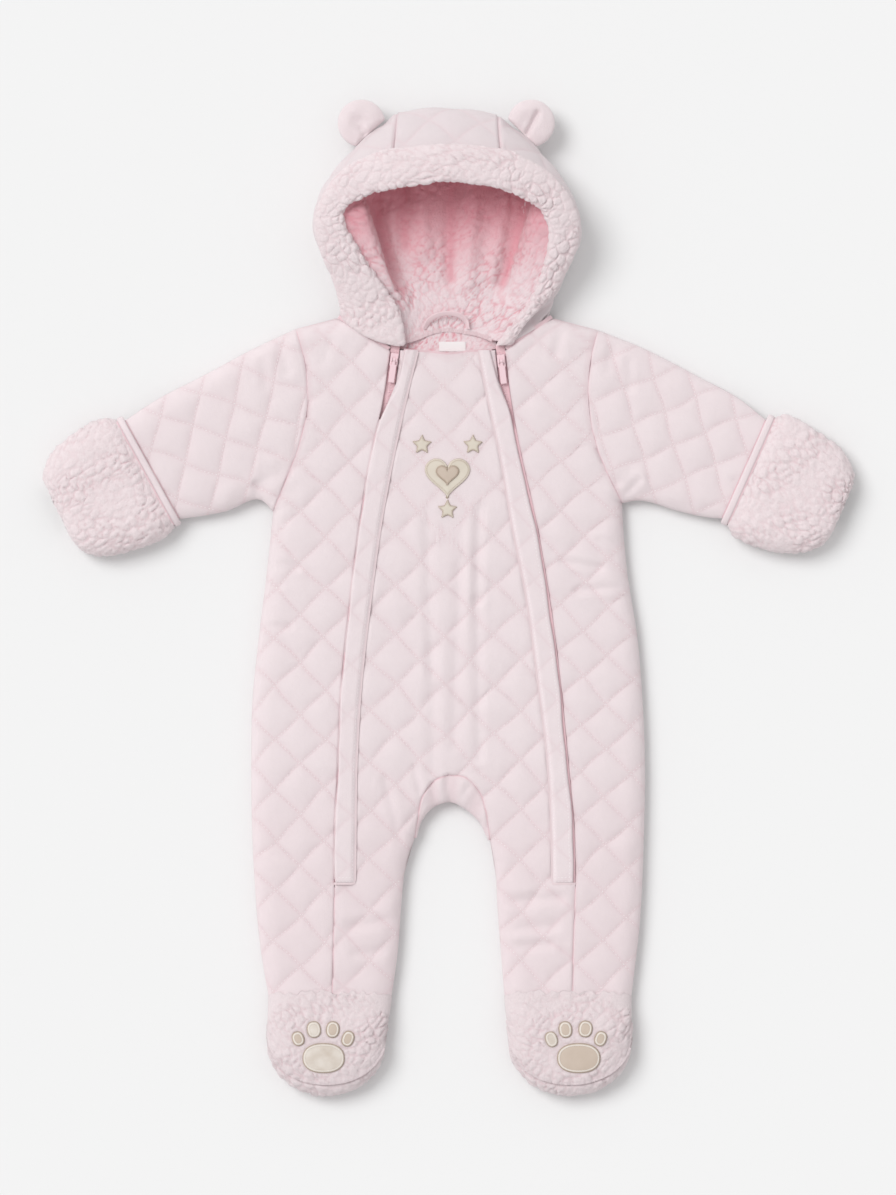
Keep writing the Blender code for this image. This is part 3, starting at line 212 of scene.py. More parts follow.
@dataclass(frozen=True)
class Stations:
    """Fine stations between coarse ones."""

    values: Array
    index: Array  # where each lies among the coarse ones, counted from 0
    stops: Array  # which fine stations are the coarse ones

    @classmethod
    def between(cls, coarse: Sequence, length: float, step: float) -> "Stations":
        """Splits each interval of coarse stations into steps of about the same size.

        Args:
            coarse: The coarse stations' values.
            length: The real length that a difference of 1 stands for.
            step: The real size of a fine step.

        Returns:
            The fine stations.
        """
        values, index, stops = [coarse[0]], [0.0], [0]
        for i, (a, b) in enumerate(zip(coarse[:-1], coarse[1:])):
            count = max(1, round(abs(b - a) * length / step))
            t = np.arange(1, count + 1) / count
            values.extend(a + (b - a) * t)
            index.extend(i + t)
            stops.append(stops[-1] + count)
        return cls(np.array(values), np.array(index), np.array(stops))

    @property
    def share(self) -> Array:
        """How far on each fine station is, from 0 to 1."""
        return self.index / self.index[-1]

    def along(self, points: Sequence) -> Array:
        """Straight between points that are given at the coarse stations."""
        p = np.array(points, float)
        return read_line(p, np.arange(len(p)), self.index)


def patch(
    first: Array, last: Array, across: Array, down: Array | None = None, top: Array | None = None,
) -> Array:
    """A grid of plan points whose rows run from one edge to the other.

    Args:
        first: The start of each row.
        last: The end of each row.
        across: Fractions along a row.
        down: How far down each row is, from 0 to 1, where the top isn't straight.
        top: That first row.

    Returns:
        The grid.
    """
    grid = first[:, None] + (last - first)[:, None] * across[None, :, None]
    if top is not None:
        grid = grid + (1 - down)[:, None, None] * (top[None] - grid[:1])
    return grid


def with_height(plan: Array, height: Array | float) -> Array:
    """Plan points and their heights as points in space."""
    return np.concatenate([plan, np.broadcast_to(height, plan.shape[:-1])[..., None]], axis=-1)


def looped(grid: Array) -> Array:
    """A grid with its first column once more at its end."""
    return np.concatenate([grid, grid[:, :1]], axis=1)


def outward(grid: Array, middle: Array, closed: bool = False) -> Array:
    """Unit normals of a grid of points, turned to point away from a middle.

    Args:
        grid: Rows and columns of points.
        middle: The middle, or one for each row.
        closed: Whether the last column joins the first.

    Returns:
        One normal for each point.
    """
    if closed:
        wide = np.concatenate([grid[:, -1:], looped(grid)], axis=1)
        across = (wide[:, 2:] - wide[:, :-2]) / 2
    else:
        across = np.gradient(grid, axis=1)
    n = unit(np.cross(across, np.gradient(grid, axis=0)))
    return n * np.sign(((grid - middle) * n).sum(-1).mean())


class Waves:
    """Smooth unevenness that is the same each time: a sum of waves across the cloth."""

    def __init__(self, length: float, seed: int) -> None:
        """Draws the directions, lengths and phases of waves about as long as length."""
        count = 9
        draw = np.random.default_rng(seed)
        angle = draw.random(count) * 2 * math.pi
        pitch = 2 * math.pi / length * (0.6 + 0.8 * draw.random(count))
        self.run = np.stack([np.cos(angle), np.sin(angle)], axis=1) * pitch[:, None]
        self.phase = draw.random(count) * 2 * math.pi
        self.scale = math.sqrt(2 / count)

    def at(self, plan: Array) -> Array:
        """The unevenness at plan points, mostly between -1.5 and 1.5."""
        return np.sin(plan[..., :2] @ self.run.T + self.phase).sum(-1) * self.scale


class Pile:
    """Curly sherpa pile: soft lumps round scattered points in space, with cracks between."""

    TABLE = 16

    def __init__(self, size: float, rise: float, seed: int) -> None:
        """Scatters lumps that are size apart and stand rise over the cracks."""
        self.size, self.rise = size, rise
        self.jitter = np.random.default_rng(seed).random((self.TABLE,) * 3 + (3,))

    def cracks(self, points: Array, size: float) -> tuple[Array, Array]:
        """Distances to the nearest lump's middle, and on from there to the next one's.

        Args:
            points: Points in space.
            size: How far apart the lumps are.

        Returns:
            Both distances, as shares of that size.
        """
        q = points / size
        base = np.floor(q).astype(int)
        near = np.full(q.shape[:-1], 9.0)
        next_near = near.copy()
        for i in range(27):
            cell = base + np.array([i // 9 - 1, i // 3 % 3 - 1, i % 3 - 1])
            k = cell % self.TABLE
            d = np.linalg.norm(q - cell - self.jitter[k[..., 0], k[..., 1], k[..., 2]], axis=-1)
            next_near = np.minimum(next_near, np.maximum(near, d))
            near = np.minimum(near, d)
        return near, next_near - near

    def lumps(self, points: Array) -> tuple[Array, Array]:
        """The pile's height over its cloth, and how much of a lump's top shows.

        Args:
            points: Points in space.

        Returns:
            Heights in millimetres, and shares from 0 in a crack to 1 on a lump, which set how much painted
            shade a point gets.
        """
        drift = 0.36 * self.size * np.sin(points[..., [1, 2, 0]] / (0.62 * self.size) + [0.0, 2.0, 4.0])
        near, apart = self.cracks(points + drift, self.size)
        _, small_apart = self.cracks(points + drift + 7.0, self.size * 0.5)
        broad, _ = self.cracks(points * 0.9 + 3.0, self.size * 2.6)
        calm = 0.45 + 0.55 * eased(0.55 + 0.5 * Waves(46.0, 83).at(points))
        curls = 0.3 * (eased(apart / 0.3) - 0.7) + 0.14 * (eased(small_apart / 0.35) - 0.7)
        shape = 0.26 * (0.6 - near**2) + curls
        # painted shade in the cracks, less where the pile is calm
        tone = 1 - calm * (1 - 0.75 * eased(apart / 0.15) - 0.25 * eased(small_apart / 0.2))
        return self.rise * (shape * calm + 0.2 * (0.6 - broad**2)), np.clip(tone, 0, 1)


# ================================================================ meshes
def put(name: str, data: bpy.types.ID) -> Piece:
    """Puts a mesh, a light or a camera into the scene as an object."""
    made = bpy.data.objects.new(name, data)
    bpy.context.scene.collection.objects.link(made)
    return made


def mesh_object(name: str, points: Array, faces: list, finish: Material, tone: Array | None = None) -> Piece:
    """An object with its faces turned outwards.

    Args:
        name: The object's name.
        points: Its points, in millimetres.
        faces: Lists of point numbers.
        finish: Its material.
        tone: A share for each point that its material reads; lower shares get painted shade.

    Returns:
        The new object.
    """
    points = np.asarray(points, float)
    mesh = bpy.data.meshes.new(name)
    mesh.from_pydata((points * MM).tolist(), [], faces)
    mesh.update()
    mesh.calc_loop_triangles()
    corners = np.zeros(len(mesh.loop_triangles) * 3, np.int32)
    mesh.loop_triangles.foreach_get("vertices", corners)
    a, b, c = np.moveaxis(points[corners.reshape(-1, 3)], 1, 0)
    if (a * np.cross(b, c)).sum() < 0:
        mesh.flip_normals()
    mesh.shade_smooth()
    mesh.set_sharp_from_angle(angle=math.radians(SHARP))
    if tone is not None:
        # each point's share of the material's own colour; the rest is painted shade
        layer = mesh.attributes.new("unshaded_share", "FLOAT", "POINT")
        layer.data.foreach_set("value", np.asarray(tone, np.float32))
    mesh.materials.append(finish)
    return put(name, mesh)


def quads_of(number: Array) -> Array:
    """The four corners of each cell in a grid of point numbers."""
    corners = (number[:-1, :-1], number[:-1, 1:], number[1:, 1:], number[1:, :-1])
    return np.stack(corners, axis=-1).reshape(-1, 4)


def ring_faces(number: Array) -> list:
    """The faces of a closed body whose rings of points are the rows of a grid of numbers."""
    return quads_of(looped(number)).tolist() + [number[0, ::-1].tolist(), number[-1].tolist()]


def ring_stops(columns: Stations) -> Array:
    """Which points of a fine ring are the coarse ring's, ending with the ring's count."""
    last = len(columns.values) - 1
    return np.concatenate([columns.stops, 2 * last - columns.stops[::-1][1:]])


class Wall:
    """Gathers a closed wall of cloth: a fine outer face, a coarser inner one, and its rims."""

    def __init__(self) -> None:
        """Starts with nothing."""
        self.points: list[Array] = []
        self.tones: list[Array] = []
        self.quads: list[Array] = []
        self.rims: list[tuple[list[int], int, int]] = []
        self.count = 0

    def add_points(self, grid: Array, tone: Array | float) -> Array:
        """Adds a grid of points.

        Args:
            grid: Rows and columns of points.
            tone: The share that each carries.

        Returns:
            The points' numbers, as a grid.
        """
        number = self.count + np.arange(grid.shape[0] * grid.shape[1]).reshape(grid.shape[:2])
        self.points.append(grid.reshape(-1, 3))
        self.tones.append(np.broadcast_to(tone, grid.shape[:2]).ravel())
        self.count += number.size
        return number

    def grid(
        self, outer: Array, inner: Array, rows: Array, columns: Array, tone: Array | float = 1.0,
        closed: bool = False,
    ) -> "Wall":
        """Adds a stretch of wall.

        Args:
            outer: The fine grid of the face that shows.
            inner: The coarse grid behind it.
            rows: Which fine rows are the coarse ones.
            columns: Which fine columns are the coarse ones.
            tone: A share for each outer point that the material reads.
            closed: Whether the last column joins the first; columns then ends with their count.

        Returns:
            This wall.
        """
        out, inn = self.add_points(outer, tone), self.add_points(inner, 0.5)
        if closed:
            out, inn = looped(out), looped(inn)
        self.quads += [quads_of(out), quads_of(inn)[:, ::-1]]
        for j, (a, b) in enumerate(zip(columns[:-1], columns[1:])):
            self.rims.append((out[0, a:b + 1].tolist(), int(inn[0, j]), int(inn[0, j + 1])))
            self.rims.append((out[-1, a:b + 1][::-1].tolist(), int(inn[-1, j + 1]), int(inn[-1, j])))
        if not closed:
            for i, (a, b) in enumerate(zip(rows[:-1], rows[1:])):
                self.rims.append((out[a:b + 1, -1].tolist(), int(inn[i, -1]), int(inn[i + 1, -1])))
                self.rims.append((out[a:b + 1, 0][::-1].tolist(), int(inn[i + 1, 0]), int(inn[i, 0])))
        return self

    def sheet(
        self, outer: Array, inner: Array, rows: Stations, columns: Stations, tone: Array | float = 1.0,
    ) -> "Wall":
        """Adds a stretch whose inner face keeps only the coarse rows and columns of its grid."""
        coarse = inner[np.ix_(rows.stops, columns.stops)]
        return self.grid(outer, coarse, rows.stops, columns.stops, tone)

    def tube(
        self, outer: Array, inner: Array, rows: Stations, columns: Stations, tone: Array | float = 1.0,
    ) -> "Wall":
        """Adds a tube in the same way; its rings run along the columns and back."""
        stops = ring_stops(columns)
        return self.grid(outer, inner[np.ix_(rows.stops, stops[:-1])], rows.stops, stops, tone, closed=True)

    def fine(self, outer: Array, inner: Array, tone: Array | float = 1.0) -> "Wall":
        """Adds a stretch whose inner face is as fine as its outer one."""
        return self.grid(outer, inner, np.arange(len(outer)), np.arange(outer.shape[1]), tone)

    def build(self, name: str, finish: Material) -> Piece:
        """Welds what meets, closes the open edges and makes the object.

        Args:
            name: The object's name.
            finish: Its material.

        Returns:
            The new object.
        """
        points = np.concatenate(self.points)
        kept, first, number = np.unique(np.round(points, 3), axis=0, return_index=True, return_inverse=True)
        number = number.ravel()
        quads = number[np.concatenate(self.quads)]
        whole = (np.diff(np.sort(quads, axis=1), axis=1) > 0).all(axis=1)
        faces = quads[whole].tolist()
        faces += [list(dict.fromkeys(q)) for q in quads[~whole].tolist()]
        known = {(int(number[a]), int(number[b])) for _, a, b in self.rims}
        for chain, a, b in self.rims:
            a, b = int(number[a]), int(number[b])
            if (b, a) not in known:
                faces.append(list(dict.fromkeys([*number[chain][::-1].tolist(), a, b])))
        faces = [f for f in faces if len(f) > 2]
        return mesh_object(name, points[first], faces, finish, np.concatenate(self.tones)[first])


def ring_mesh(name: str, rings: Array, finish: Material, tone: Array | None = None) -> Piece:
    """A closed body from rings of points, with a flat face over each end.

    Args:
        name: The object's name.
        rings: Rings of points, one after the other.
        finish: Its material.
        tone: A share for each point that its material reads.

    Returns:
        The new object.
    """
    rows, columns = rings.shape[:2]
    faces = ring_faces(np.arange(rows * columns).reshape(rows, columns))
    return mesh_object(name, rings.reshape(-1, 3), faces, finish, None if tone is None else tone.ravel())


def even_rings(rings: Array, count: int) -> Array:
    """Rings whose points are evenly spaced.

    Args:
        rings: Closed rings; the first three columns are places, and others go with them.
        count: How many points each new ring has.

    Returns:
        The new rings.
    """
    made = np.empty((len(rings), count, rings.shape[-1]))
    for i, ring in enumerate(rings):
        whole = np.concatenate([ring, ring[:1]])
        run = run_of(whole[:, :3])
        made[i] = read_line(whole, run, np.linspace(0, run[-1], count, endpoint=False))
    return made


def stitched(name: str, starts: Array, ends: Array, finish: Material, wide: float = 0.55) -> Piece:
    """Stitches, each a short stretch of thread that bulges at its middle, joined in one mesh.

    Args:
        name: The object's name.
        starts: Where each stitch starts.
        ends: Where each ends.
        finish: Their material.
        wide: The thread's thickness.

    Returns:
        The new object.
    """
    run = unit(ends - starts)
    across = unit(np.cross(run, [0.0, 0.0, 1.0]))
    up = np.cross(across, run)
    middle = (starts + ends) / 2
    belly = [middle + side * wide / 2 for side in (across, up, -across, -up)]
    points = np.stack([starts, *belly, ends], axis=1)
    cells = np.array([
        [0, 1, 2], [0, 2, 3], [0, 3, 4], [0, 4, 1], [5, 2, 1], [5, 3, 2], [5, 4, 3], [5, 1, 4],
    ])
    faces = (np.arange(len(points))[:, None, None] * 6 + cells[None]).reshape(-1, 3)
    return mesh_object(name, points.reshape(-1, 3), faces.tolist(), finish)


def sideways(line: Array) -> Array:
    """Unit vectors across a plan line, to its left, at each of its points."""
    run = np.gradient(line, axis=0)
    return unit(np.stack([-run[:, 1], run[:, 0]], axis=1))


def creases(name: str, lines: Sequence[Array], finish: Material, wide: float) -> Piece:
    """Thin three-sided strips that paint the shade where stitching or a seam pulls the cloth in.

    Args:
        name: The object's name.
        lines: The strips' middles.
        finish: Their material.
        wide: Their width.

    Returns:
        The new object.
    """
    points, faces, count = [], [], 0
    for line in lines:
        across = with_height(sideways(line[:, :2]) * wide / 2, 0.0)
        rings = np.stack([line + across, line - across, line - [0, 0, 0.6]], axis=1)
        faces += ring_faces(count + np.arange(len(line) * 3).reshape(-1, 3))
        points.append(rings.reshape(-1, 3))
        count += len(line) * 3
    return mesh_object(name, np.concatenate(points), faces, finish)


def stitch_pairs(line: Array, pitch: float, share: float) -> tuple[Array, Array]:
    """Where stitches start and end along a line.

    Args:
        line: The line's points, close together.
        pitch: From one stitch to the next.
        share: The share of the pitch that a stitch covers.

    Returns:
        Starts and ends.
    """
    run = run_of(line)
    at = np.arange(pitch / 2, run[-1] - pitch * share, pitch)
    return read_line(line, run, at), read_line(line, run, at + pitch * share)


def roll_down(d: Array, roll: float) -> Array:
    """How far cloth rolls down at distances from its sewn edge."""
    return roll * (1 - quarter_round(d / roll)) + 0.3 * bell(d / 4.5)


def at_seam(d: Array) -> Array:
    """How much of the cloth's own colour is left at distances from a seam; the rest is painted shade."""
    return 1 - 0.55 * bell(d / 1.3)


class Ground:
    """Finds the upper surface of finished pieces."""

    def __init__(self, *pieces: Piece) -> None:
        """Takes the pieces that things are laid on."""
        self.trees = []
        for piece in pieces:
            points = [v.co for v in piece.data.vertices]
            self.trees.append(BVHTree.FromPolygons(points, [tuple(f.vertices) for f in piece.data.polygons]))

    def heights(self, plan: Array) -> Array:
        """The surface's heights at plan points; 0 beside the pieces."""
        down = Vector((0, 0, -1))
        found = []
        for x, y in np.asarray(plan).reshape(-1, 2):
            hits = [tree.ray_cast(Vector((x * MM, y * MM, 1)), down)[0] for tree in self.trees]
            found.append(max([h.z / MM for h in hits if h is not None], default=0.0))
        return np.array(found).reshape(np.shape(plan)[:-1])

    def laid(self, plan: Array, up: float) -> Array:
        """Plan points laid on the surface, and raised by up."""
        return with_height(plan, self.heights(plan) + up)


def settle(
    piece: Piece, slot: str, *nodes: str, cut: tuple | None = None, fill: float | None = None,
    rests: Sequence[str] = (),
) -> Piece:
    """Says what a piece rides on and stands for, and logs it.

    Args:
        piece: The piece.
        slot: The record's material slot; not used.
        nodes: The CAD nodes that it replaces.
        cut: For a sheet, its cut's width, length and flat area in metres; not used.
        fill: For a padded piece, how full it is; not used.
        rests: What a sheet lies on; not used.

    Returns:
        The piece.
    """
    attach(piece, BODY)
    if nodes:
        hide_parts(*nodes)
    log.info("%s: %d faces", piece.name, len(piece.data.polygons))
    return piece


def seam_line(
    name: str, line: Array, pieces: Sequence[Piece], finish: Material, wide: float,
    up: float = 0.0, lower: bool = True,
) -> None:
    """Lays a soft strip of painted shade along a seam, over the gap between its pieces.

    Args:
        name: The line's name.
        line: Its plan points.
        pieces: The pieces that meet there.
        finish: Its material.
        wide: Its width.
        up: How far it is raised.
        lower: Whether it follows the lower of both sides, not the higher one.
    """
    ground = Ground(*pieces)
    across = 0.7 * sideways(line)
    sides = [ground.heights(line - across), ground.heights(line + across)]
    z = np.min(sides, axis=0) if lower else np.max(sides, axis=0)
    on_cloth = np.min(sides, axis=0) > 2.0
    settle(creases(name, [with_height(line, z + up)[on_cloth]], finish, wide), "quilted_cloth")


# ================================================================ finishes
class Nodes:
    """Wires up the nodes of one material."""

    def __init__(self, name: str) -> None:
        """Starts a material of that name with its shader."""
        self.material = bpy.data.materials.new(name)
        self.material.use_nodes = True
        self.tree = self.material.node_tree
        self.shader = self.tree.nodes["Principled BSDF"]
        self.place = self.tree.nodes.new("ShaderNodeTexCoord").outputs["Object"]

    def set(self, **sockets: float | tuple) -> None:
        """Sets values on the shader's own sockets, named with _ for a space."""
        for name, value in sockets.items():
            self.shader.inputs[name.replace("_", " ")].default_value = value

    def add(self, kind: str, links: dict, values: dict, **options: str) -> bpy.types.Node:
        """Adds a node.

        Args:
            kind: What it is, as Blender names it.
            links: What comes into which of its inputs.
            values: What its other inputs are set to.
            **options: Its own options.

        Returns:
            The node.
        """
        node = self.tree.nodes.new(f"ShaderNode{kind}")
        for name, option in options.items():
            setattr(node, name, option)
        for name, value in values.items():
            node.inputs[name].default_value = value
        for name, socket in links.items():
            self.tree.links.new(socket, node.inputs[name])
        return node

    def noise(self, size: float, detail: float = 2.0, rough: float = 0.5) -> Socket:
        """Cloudy noise with spots of about size millimetres, and finer layers in it."""
        values = {"Scale": 1 / (size * MM), "Detail": detail, "Roughness": rough}
        return self.add("TexNoise", {"Vector": self.place}, values).outputs["Fac"]

    def threads(self, pitch: float, axis: str) -> Socket:
        """The height of straight threads across the X, Y or Z axis, pitch millimetres apart."""
        values = {"Scale": 0.314 / (pitch * MM), "Distortion": 0.6}
        return self.add("TexWave", {"Vector": self.place}, values, bands_direction=axis).outputs["Fac"]

    def attribute(self, name: str) -> Socket:
        """A share that the mesh's points carry."""
        return self.add("Attribute", {}, {}, attribute_name=name).outputs["Fac"]

    def mixed(self, share: Socket, low: tuple, high: tuple | Socket) -> Socket:
        """A colour between two.

        Args:
            share: 0 for the first colour and 1 for the second.
            low: The first colour.
            high: The second colour, or where it comes from.

        Returns:
            The mixed colour.
        """
        links, values = {0: share}, {6: (*low, 1)}
        if isinstance(high, tuple):
            values[7] = (*high, 1)
        else:
            links[7] = high
        return self.add("Mix", links, values, data_type="RGBA").outputs[2]

    def tinted(self, color: Socket, share: Socket, dark: float) -> Socket:
        """A colour that is darker where a share is low.

        Args:
            color: The colour.
            share: 0 where it is darkest and 1 where it isn't changed.
            dark: What is left of the colour where it is darkest.

        Returns:
            The new colour.
        """
        span = self.add("MapRange", {"Value": share}, {"To Min": dark})
        links = {0: color, "Scale": span.outputs["Result"]}
        return self.add("VectorMath", links, {}, operation="SCALE").outputs["Vector"]

    def color(self, socket: Socket) -> None:
        """Uses a colour as the base colour."""
        self.tree.links.new(socket, self.shader.inputs["Base Color"])

    def bump(self, height: Socket, rise: float, below: Socket | None = None) -> Socket:
        """Raises the surface a little.

        Args:
            height: Where it is raised.
            rise: How far, in millimetres.
            below: Another bump under this one.

        Returns:
            The bumped normal, which the shader now uses.
        """
        links = {"Height": height} if below is None else {"Height": height, "Normal": below}
        normal = self.add("Bump", links, {"Distance": rise * MM}).outputs["Normal"]
        self.tree.links.new(normal, self.shader.inputs["Normal"])
        return normal


@dataclass(frozen=True)
class ClothFinish:
    """A woven or brushed cloth."""

    name: str
    color: tuple
    shade: tuple  # the colour of its faintly darker patches
    roughness: float = 0.9
    sheen: float = 0.25
    weave: float = 0.55  # from thread to thread
    weave_rise: float = 0.10
    nap: float = 0.9  # size of the brushed nap
    nap_rise: float = 0.14
    crumple: float = 9.0
    crumple_rise: float = 0.5
    crease: tuple | None = None  # its painted shade where stitching pulls it in

    def build(self) -> Material:
        """Makes the material."""
        n = Nodes(self.name)
        n.set(Roughness=self.roughness, Sheen_Weight=self.sheen, Sheen_Roughness=0.5, IOR=1.4)
        color = n.mixed(n.noise(26.0, 3.0), self.color, self.shade)
        # painted shade along the stitched lines and seams, where a point's share is low
        n.color(n.mixed(n.attribute("unshaded_share"), self.crease, color) if self.crease else color)
        below = n.bump(n.noise(self.crumple, 2.0), self.crumple_rise)
        below = n.bump(n.noise(self.nap, 4.0, 0.6), self.nap_rise, below)
        below = n.bump(n.threads(self.weave, "X"), self.weave_rise, below)
        n.bump(n.threads(self.weave, "Y"), self.weave_rise, below)
        return n.material


@dataclass(frozen=True)
class PileFinish:
    """A curly sherpa pile, with darker, pinker painted shade in the cracks between its lumps."""

    name: str
    color: tuple
    # the painted shade in the cracks
    crack_shade: tuple
    dark: float = 0.93
    curl: float = 2.0
    curl_rise: float = 0.8

    def build(self) -> Material:
        """Makes the material."""
        n = Nodes(self.name)
        n.set(Roughness=1.0, Sheen_Weight=0.35, Sheen_Roughness=0.6, IOR=1.3)
        mixed = n.mixed(n.attribute("unshaded_share"), self.crack_shade, self.color)
        n.color(n.tinted(mixed, n.noise(1.6, 3.0), self.dark))
        below = n.bump(n.noise(self.curl, 4.0, 0.65), self.curl_rise)
        n.bump(n.noise(self.curl * 0.35, 2.0), self.curl_rise * 0.3, below)
        return n.material


@dataclass(frozen=True)
class SatinFinish:
    """Satin with a soft shine along its threads."""

    name: str
    color: tuple
    shade: tuple
    roughness: float = 0.38
    weave: float = 0.4
    weave_rise: float = 0.03
    crumple: float = 6.0
    crumple_rise: float = 0.25

    def build(self) -> Material:
        """Makes the material."""
        n = Nodes(self.name)
        n.set(Roughness=self.roughness, Sheen_Weight=0.1, IOR=1.5)
        n.color(n.mixed(n.noise(9.0, 2.0), self.color, self.shade))
        below = n.bump(n.noise(self.crumple, 1.0), self.crumple_rise)
        n.bump(n.threads(self.weave, "Y"), self.weave_rise, below)
        return n.material


@dataclass(frozen=True)
class PlasticFinish:
    """Moulded plastic with the faint grain of its mould."""

    name: str
    color: tuple
    shade: tuple
    roughness: float = 0.38

    def build(self) -> Material:
        """Makes the material."""
        n = Nodes(self.name)
        n.set(Roughness=self.roughness, IOR=1.49, Coat_Weight=0.15)
        n.color(n.mixed(n.noise(2.5, 2.0), self.color, self.shade))
        n.bump(n.noise(0.6, 2.0), 0.02)
        return n.material


class Finishes:
    """Every finish of the suit."""

    def __init__(self) -> None:
        """Makes the materials."""
        pink, pink_shade = (0.885, 0.782, 0.80), (0.865, 0.755, 0.775)
        # painted shade for the stitched lines and seams of the quilted cloth
        crease = (0.80, 0.63, 0.66)
        self.quilted = ClothFinish("quilted_cloth", pink, pink_shade, crease=crease).build()
        # the hood's cloth is the suit's pink painted darker: painted shade
        hood, hood_shade = (0.80, 0.712, 0.73), (0.78, 0.688, 0.706)
        self.hood = ClothFinish("hood_cloth", hood, hood_shade, crease=crease).build()
        self.plain = ClothFinish("plain_cloth", (0.89, 0.77, 0.79), pink_shade, crumple_rise=0.3).build()
        ear = ClothFinish("ear_cloth", (0.90, 0.78, 0.80), pink_shade, nap=1.3, nap_rise=0.5, sheen=0.6)
        self.ear = ear.build()
        # the tape's pink, deeper than the cloth's: partly its own colour, partly painted shade of the zip's
        # channel
        tape = ClothFinish("zip_tape", (0.86, 0.60, 0.64), (0.84, 0.57, 0.61), weave=0.8, weave_rise=0.12)
        self.tape = tape.build()
        # the booties' sherpa, a darker copy of the sherpa: painted shade
        self.foot = PileFinish("sherpa_foot_shaded", (0.785, 0.685, 0.70), (0.73, 0.57, 0.595)).build()
        # a strip of painted shade along the neck's seam
        seam = ClothFinish("lining_seam", (0.82, 0.65, 0.675), (0.79, 0.59, 0.62), nap_rise=0.5)
        self.lining_seam = seam.build()
        seam = ClothFinish("toe_seam", (0.80, 0.70, 0.718), (0.78, 0.665, 0.683), nap_rise=0.8)
        self.toe_seam = seam.build()
        self.loop = ClothFinish("loop_tape", (0.86, 0.67, 0.70), (0.84, 0.64, 0.67), weave=0.8).build()
        self.sherpa = PileFinish("sherpa", (0.84, 0.73, 0.747), (0.77, 0.60, 0.625)).build()
        # the lining's sherpa painted darker, and deep pink in its cracks: painted shade inside the hood and at
        # the neck
        self.lining = PileFinish("sherpa_lining", (0.845, 0.71, 0.735), (0.73, 0.28, 0.335)).build()
        self.pad = SatinFinish("pad_satin", (0.60, 0.50, 0.42), (0.54, 0.44, 0.36)).build()
        # the pad satin painted pale, with taupe patches: painted highlight of the satin's shine
        ivory = SatinFinish("pad_satin_highlight", (0.80, 0.745, 0.69), (0.52, 0.43, 0.35), roughness=0.3)
        self.pad_satin_highlight = ivory.build()
        self.motif = SatinFinish("motif_cloth", (0.70, 0.64, 0.55), (0.65, 0.58, 0.49), roughness=0.5).build()
        self.label = SatinFinish("label_satin", (0.86, 0.82, 0.82), (0.83, 0.79, 0.79), roughness=0.5).build()
        self.plastic = PlasticFinish("zip_plastic", (0.86, 0.64, 0.68), (0.83, 0.60, 0.645)).build()
        self.thread = SatinFinish("pink_thread", (0.96, 0.90, 0.91), (0.94, 0.87, 0.88), roughness=0.6).build()
        # thin strips of painted shade along the quilting's stitched lines
        self.crease = ClothFinish("quilting_crease", (0.85, 0.71, 0.73), (0.83, 0.68, 0.70)).build()
        self.seam_shade = ClothFinish("seam_shade", (0.83, 0.62, 0.655), (0.81, 0.59, 0.625)).build()
        beige = SatinFinish("beige_thread", (0.50, 0.40, 0.315), (0.46, 0.365, 0.285), roughness=0.55)
        self.seam = beige.build()
        ivory = SatinFinish("ivory_thread", (0.86, 0.81, 0.75), (0.82, 0.76, 0.70), roughness=0.55)
        self.ivory = ivory.build()


# ================================================================ the lie of the cloth
@dataclass(frozen=True)
class Quilting:
    """Two families of stitched lines that cross, with soft pillows between."""

    node: tuple  # a place where two lines cross
    first: tuple  # from there to the next crossing, along one family
    second: tuple  # and along the other
    rise: float = 2.3
    full: float = 0.55  # a lower power makes fuller pillows
    wobble: float = 0.8
    seed: int = 3

    def shifted(self, plan: Array) -> Array:
        """Plan points moved by how unevenly the lines run."""
        drift = [Waves(55.0, self.seed).at(plan), Waves(55.0, self.seed + 1).at(plan)]
        return plan + self.wobble * np.stack(drift, axis=-1)

    def off_lines(self, plan: Array) -> Array:
        """How far plan points are from the nearest line of each family, in cells."""
        cells = (self.shifted(plan) - self.node) @ np.linalg.inv([self.first, self.second])
        return np.abs(cells - np.round(cells))

    def relief(self, plan: Array) -> Array:
        """How far the pillows stand over their mean at plan points."""
        off = self.off_lines(plan)
        swell = (np.sin(math.pi * off) ** self.full).prod(-1)
        uneven = 1 + 0.16 * Waves(70.0, self.seed + 2).at(plan)
        return self.rise * uneven * (swell - 0.5)

    def tone(self, plan: Array) -> Array:
        """1 on the pillows, and less along the stitched lines, at plan points: the share left out of painted
        shade.
        """
        basis = np.array([self.first, self.second])
        apart = abs(np.linalg.det(basis)) / np.linalg.norm(basis[::-1], axis=1)
        d = (self.off_lines(plan) * apart).min(axis=-1)
        return 1 - 0.36 * bell(d / 1.1) - 0.16 * bell(d / 4.0)

    def lines(self, low: Array, high: Array) -> list[Array]:
        """The stitched lines inside a box, each as close points.

        Args:
            low: The box's lowest corner.
            high: Its highest corner.

        Returns:
            The lines.
        """
        reach = np.linalg.norm(np.array(high) - low)
        middle = (np.array(low) + high) / 2
        found = []
        for along, step in ((self.first, self.second), (self.second, self.first)):
            along, step = np.array(along, float), np.array(step, float)
            size = np.linalg.norm(along)
            t = np.arange(-reach / 2, reach / 2, 1.0)[:, None] / size
            base = (middle - self.node) @ np.linalg.inv(np.array([along, step]))
            for n in range(-int(reach / size) - 1, int(reach / size) + 2):
                line = np.array(self.node) + (round(base[1]) + n) * step + (t + base[0]) * along
                line = 2 * line - self.shifted(line)
                keep = ((line > np.array(low) - 2) & (line < np.array(high) + 2)).all(axis=1)
                if keep.sum() > 4:
                    found.append(line[keep])
        return found


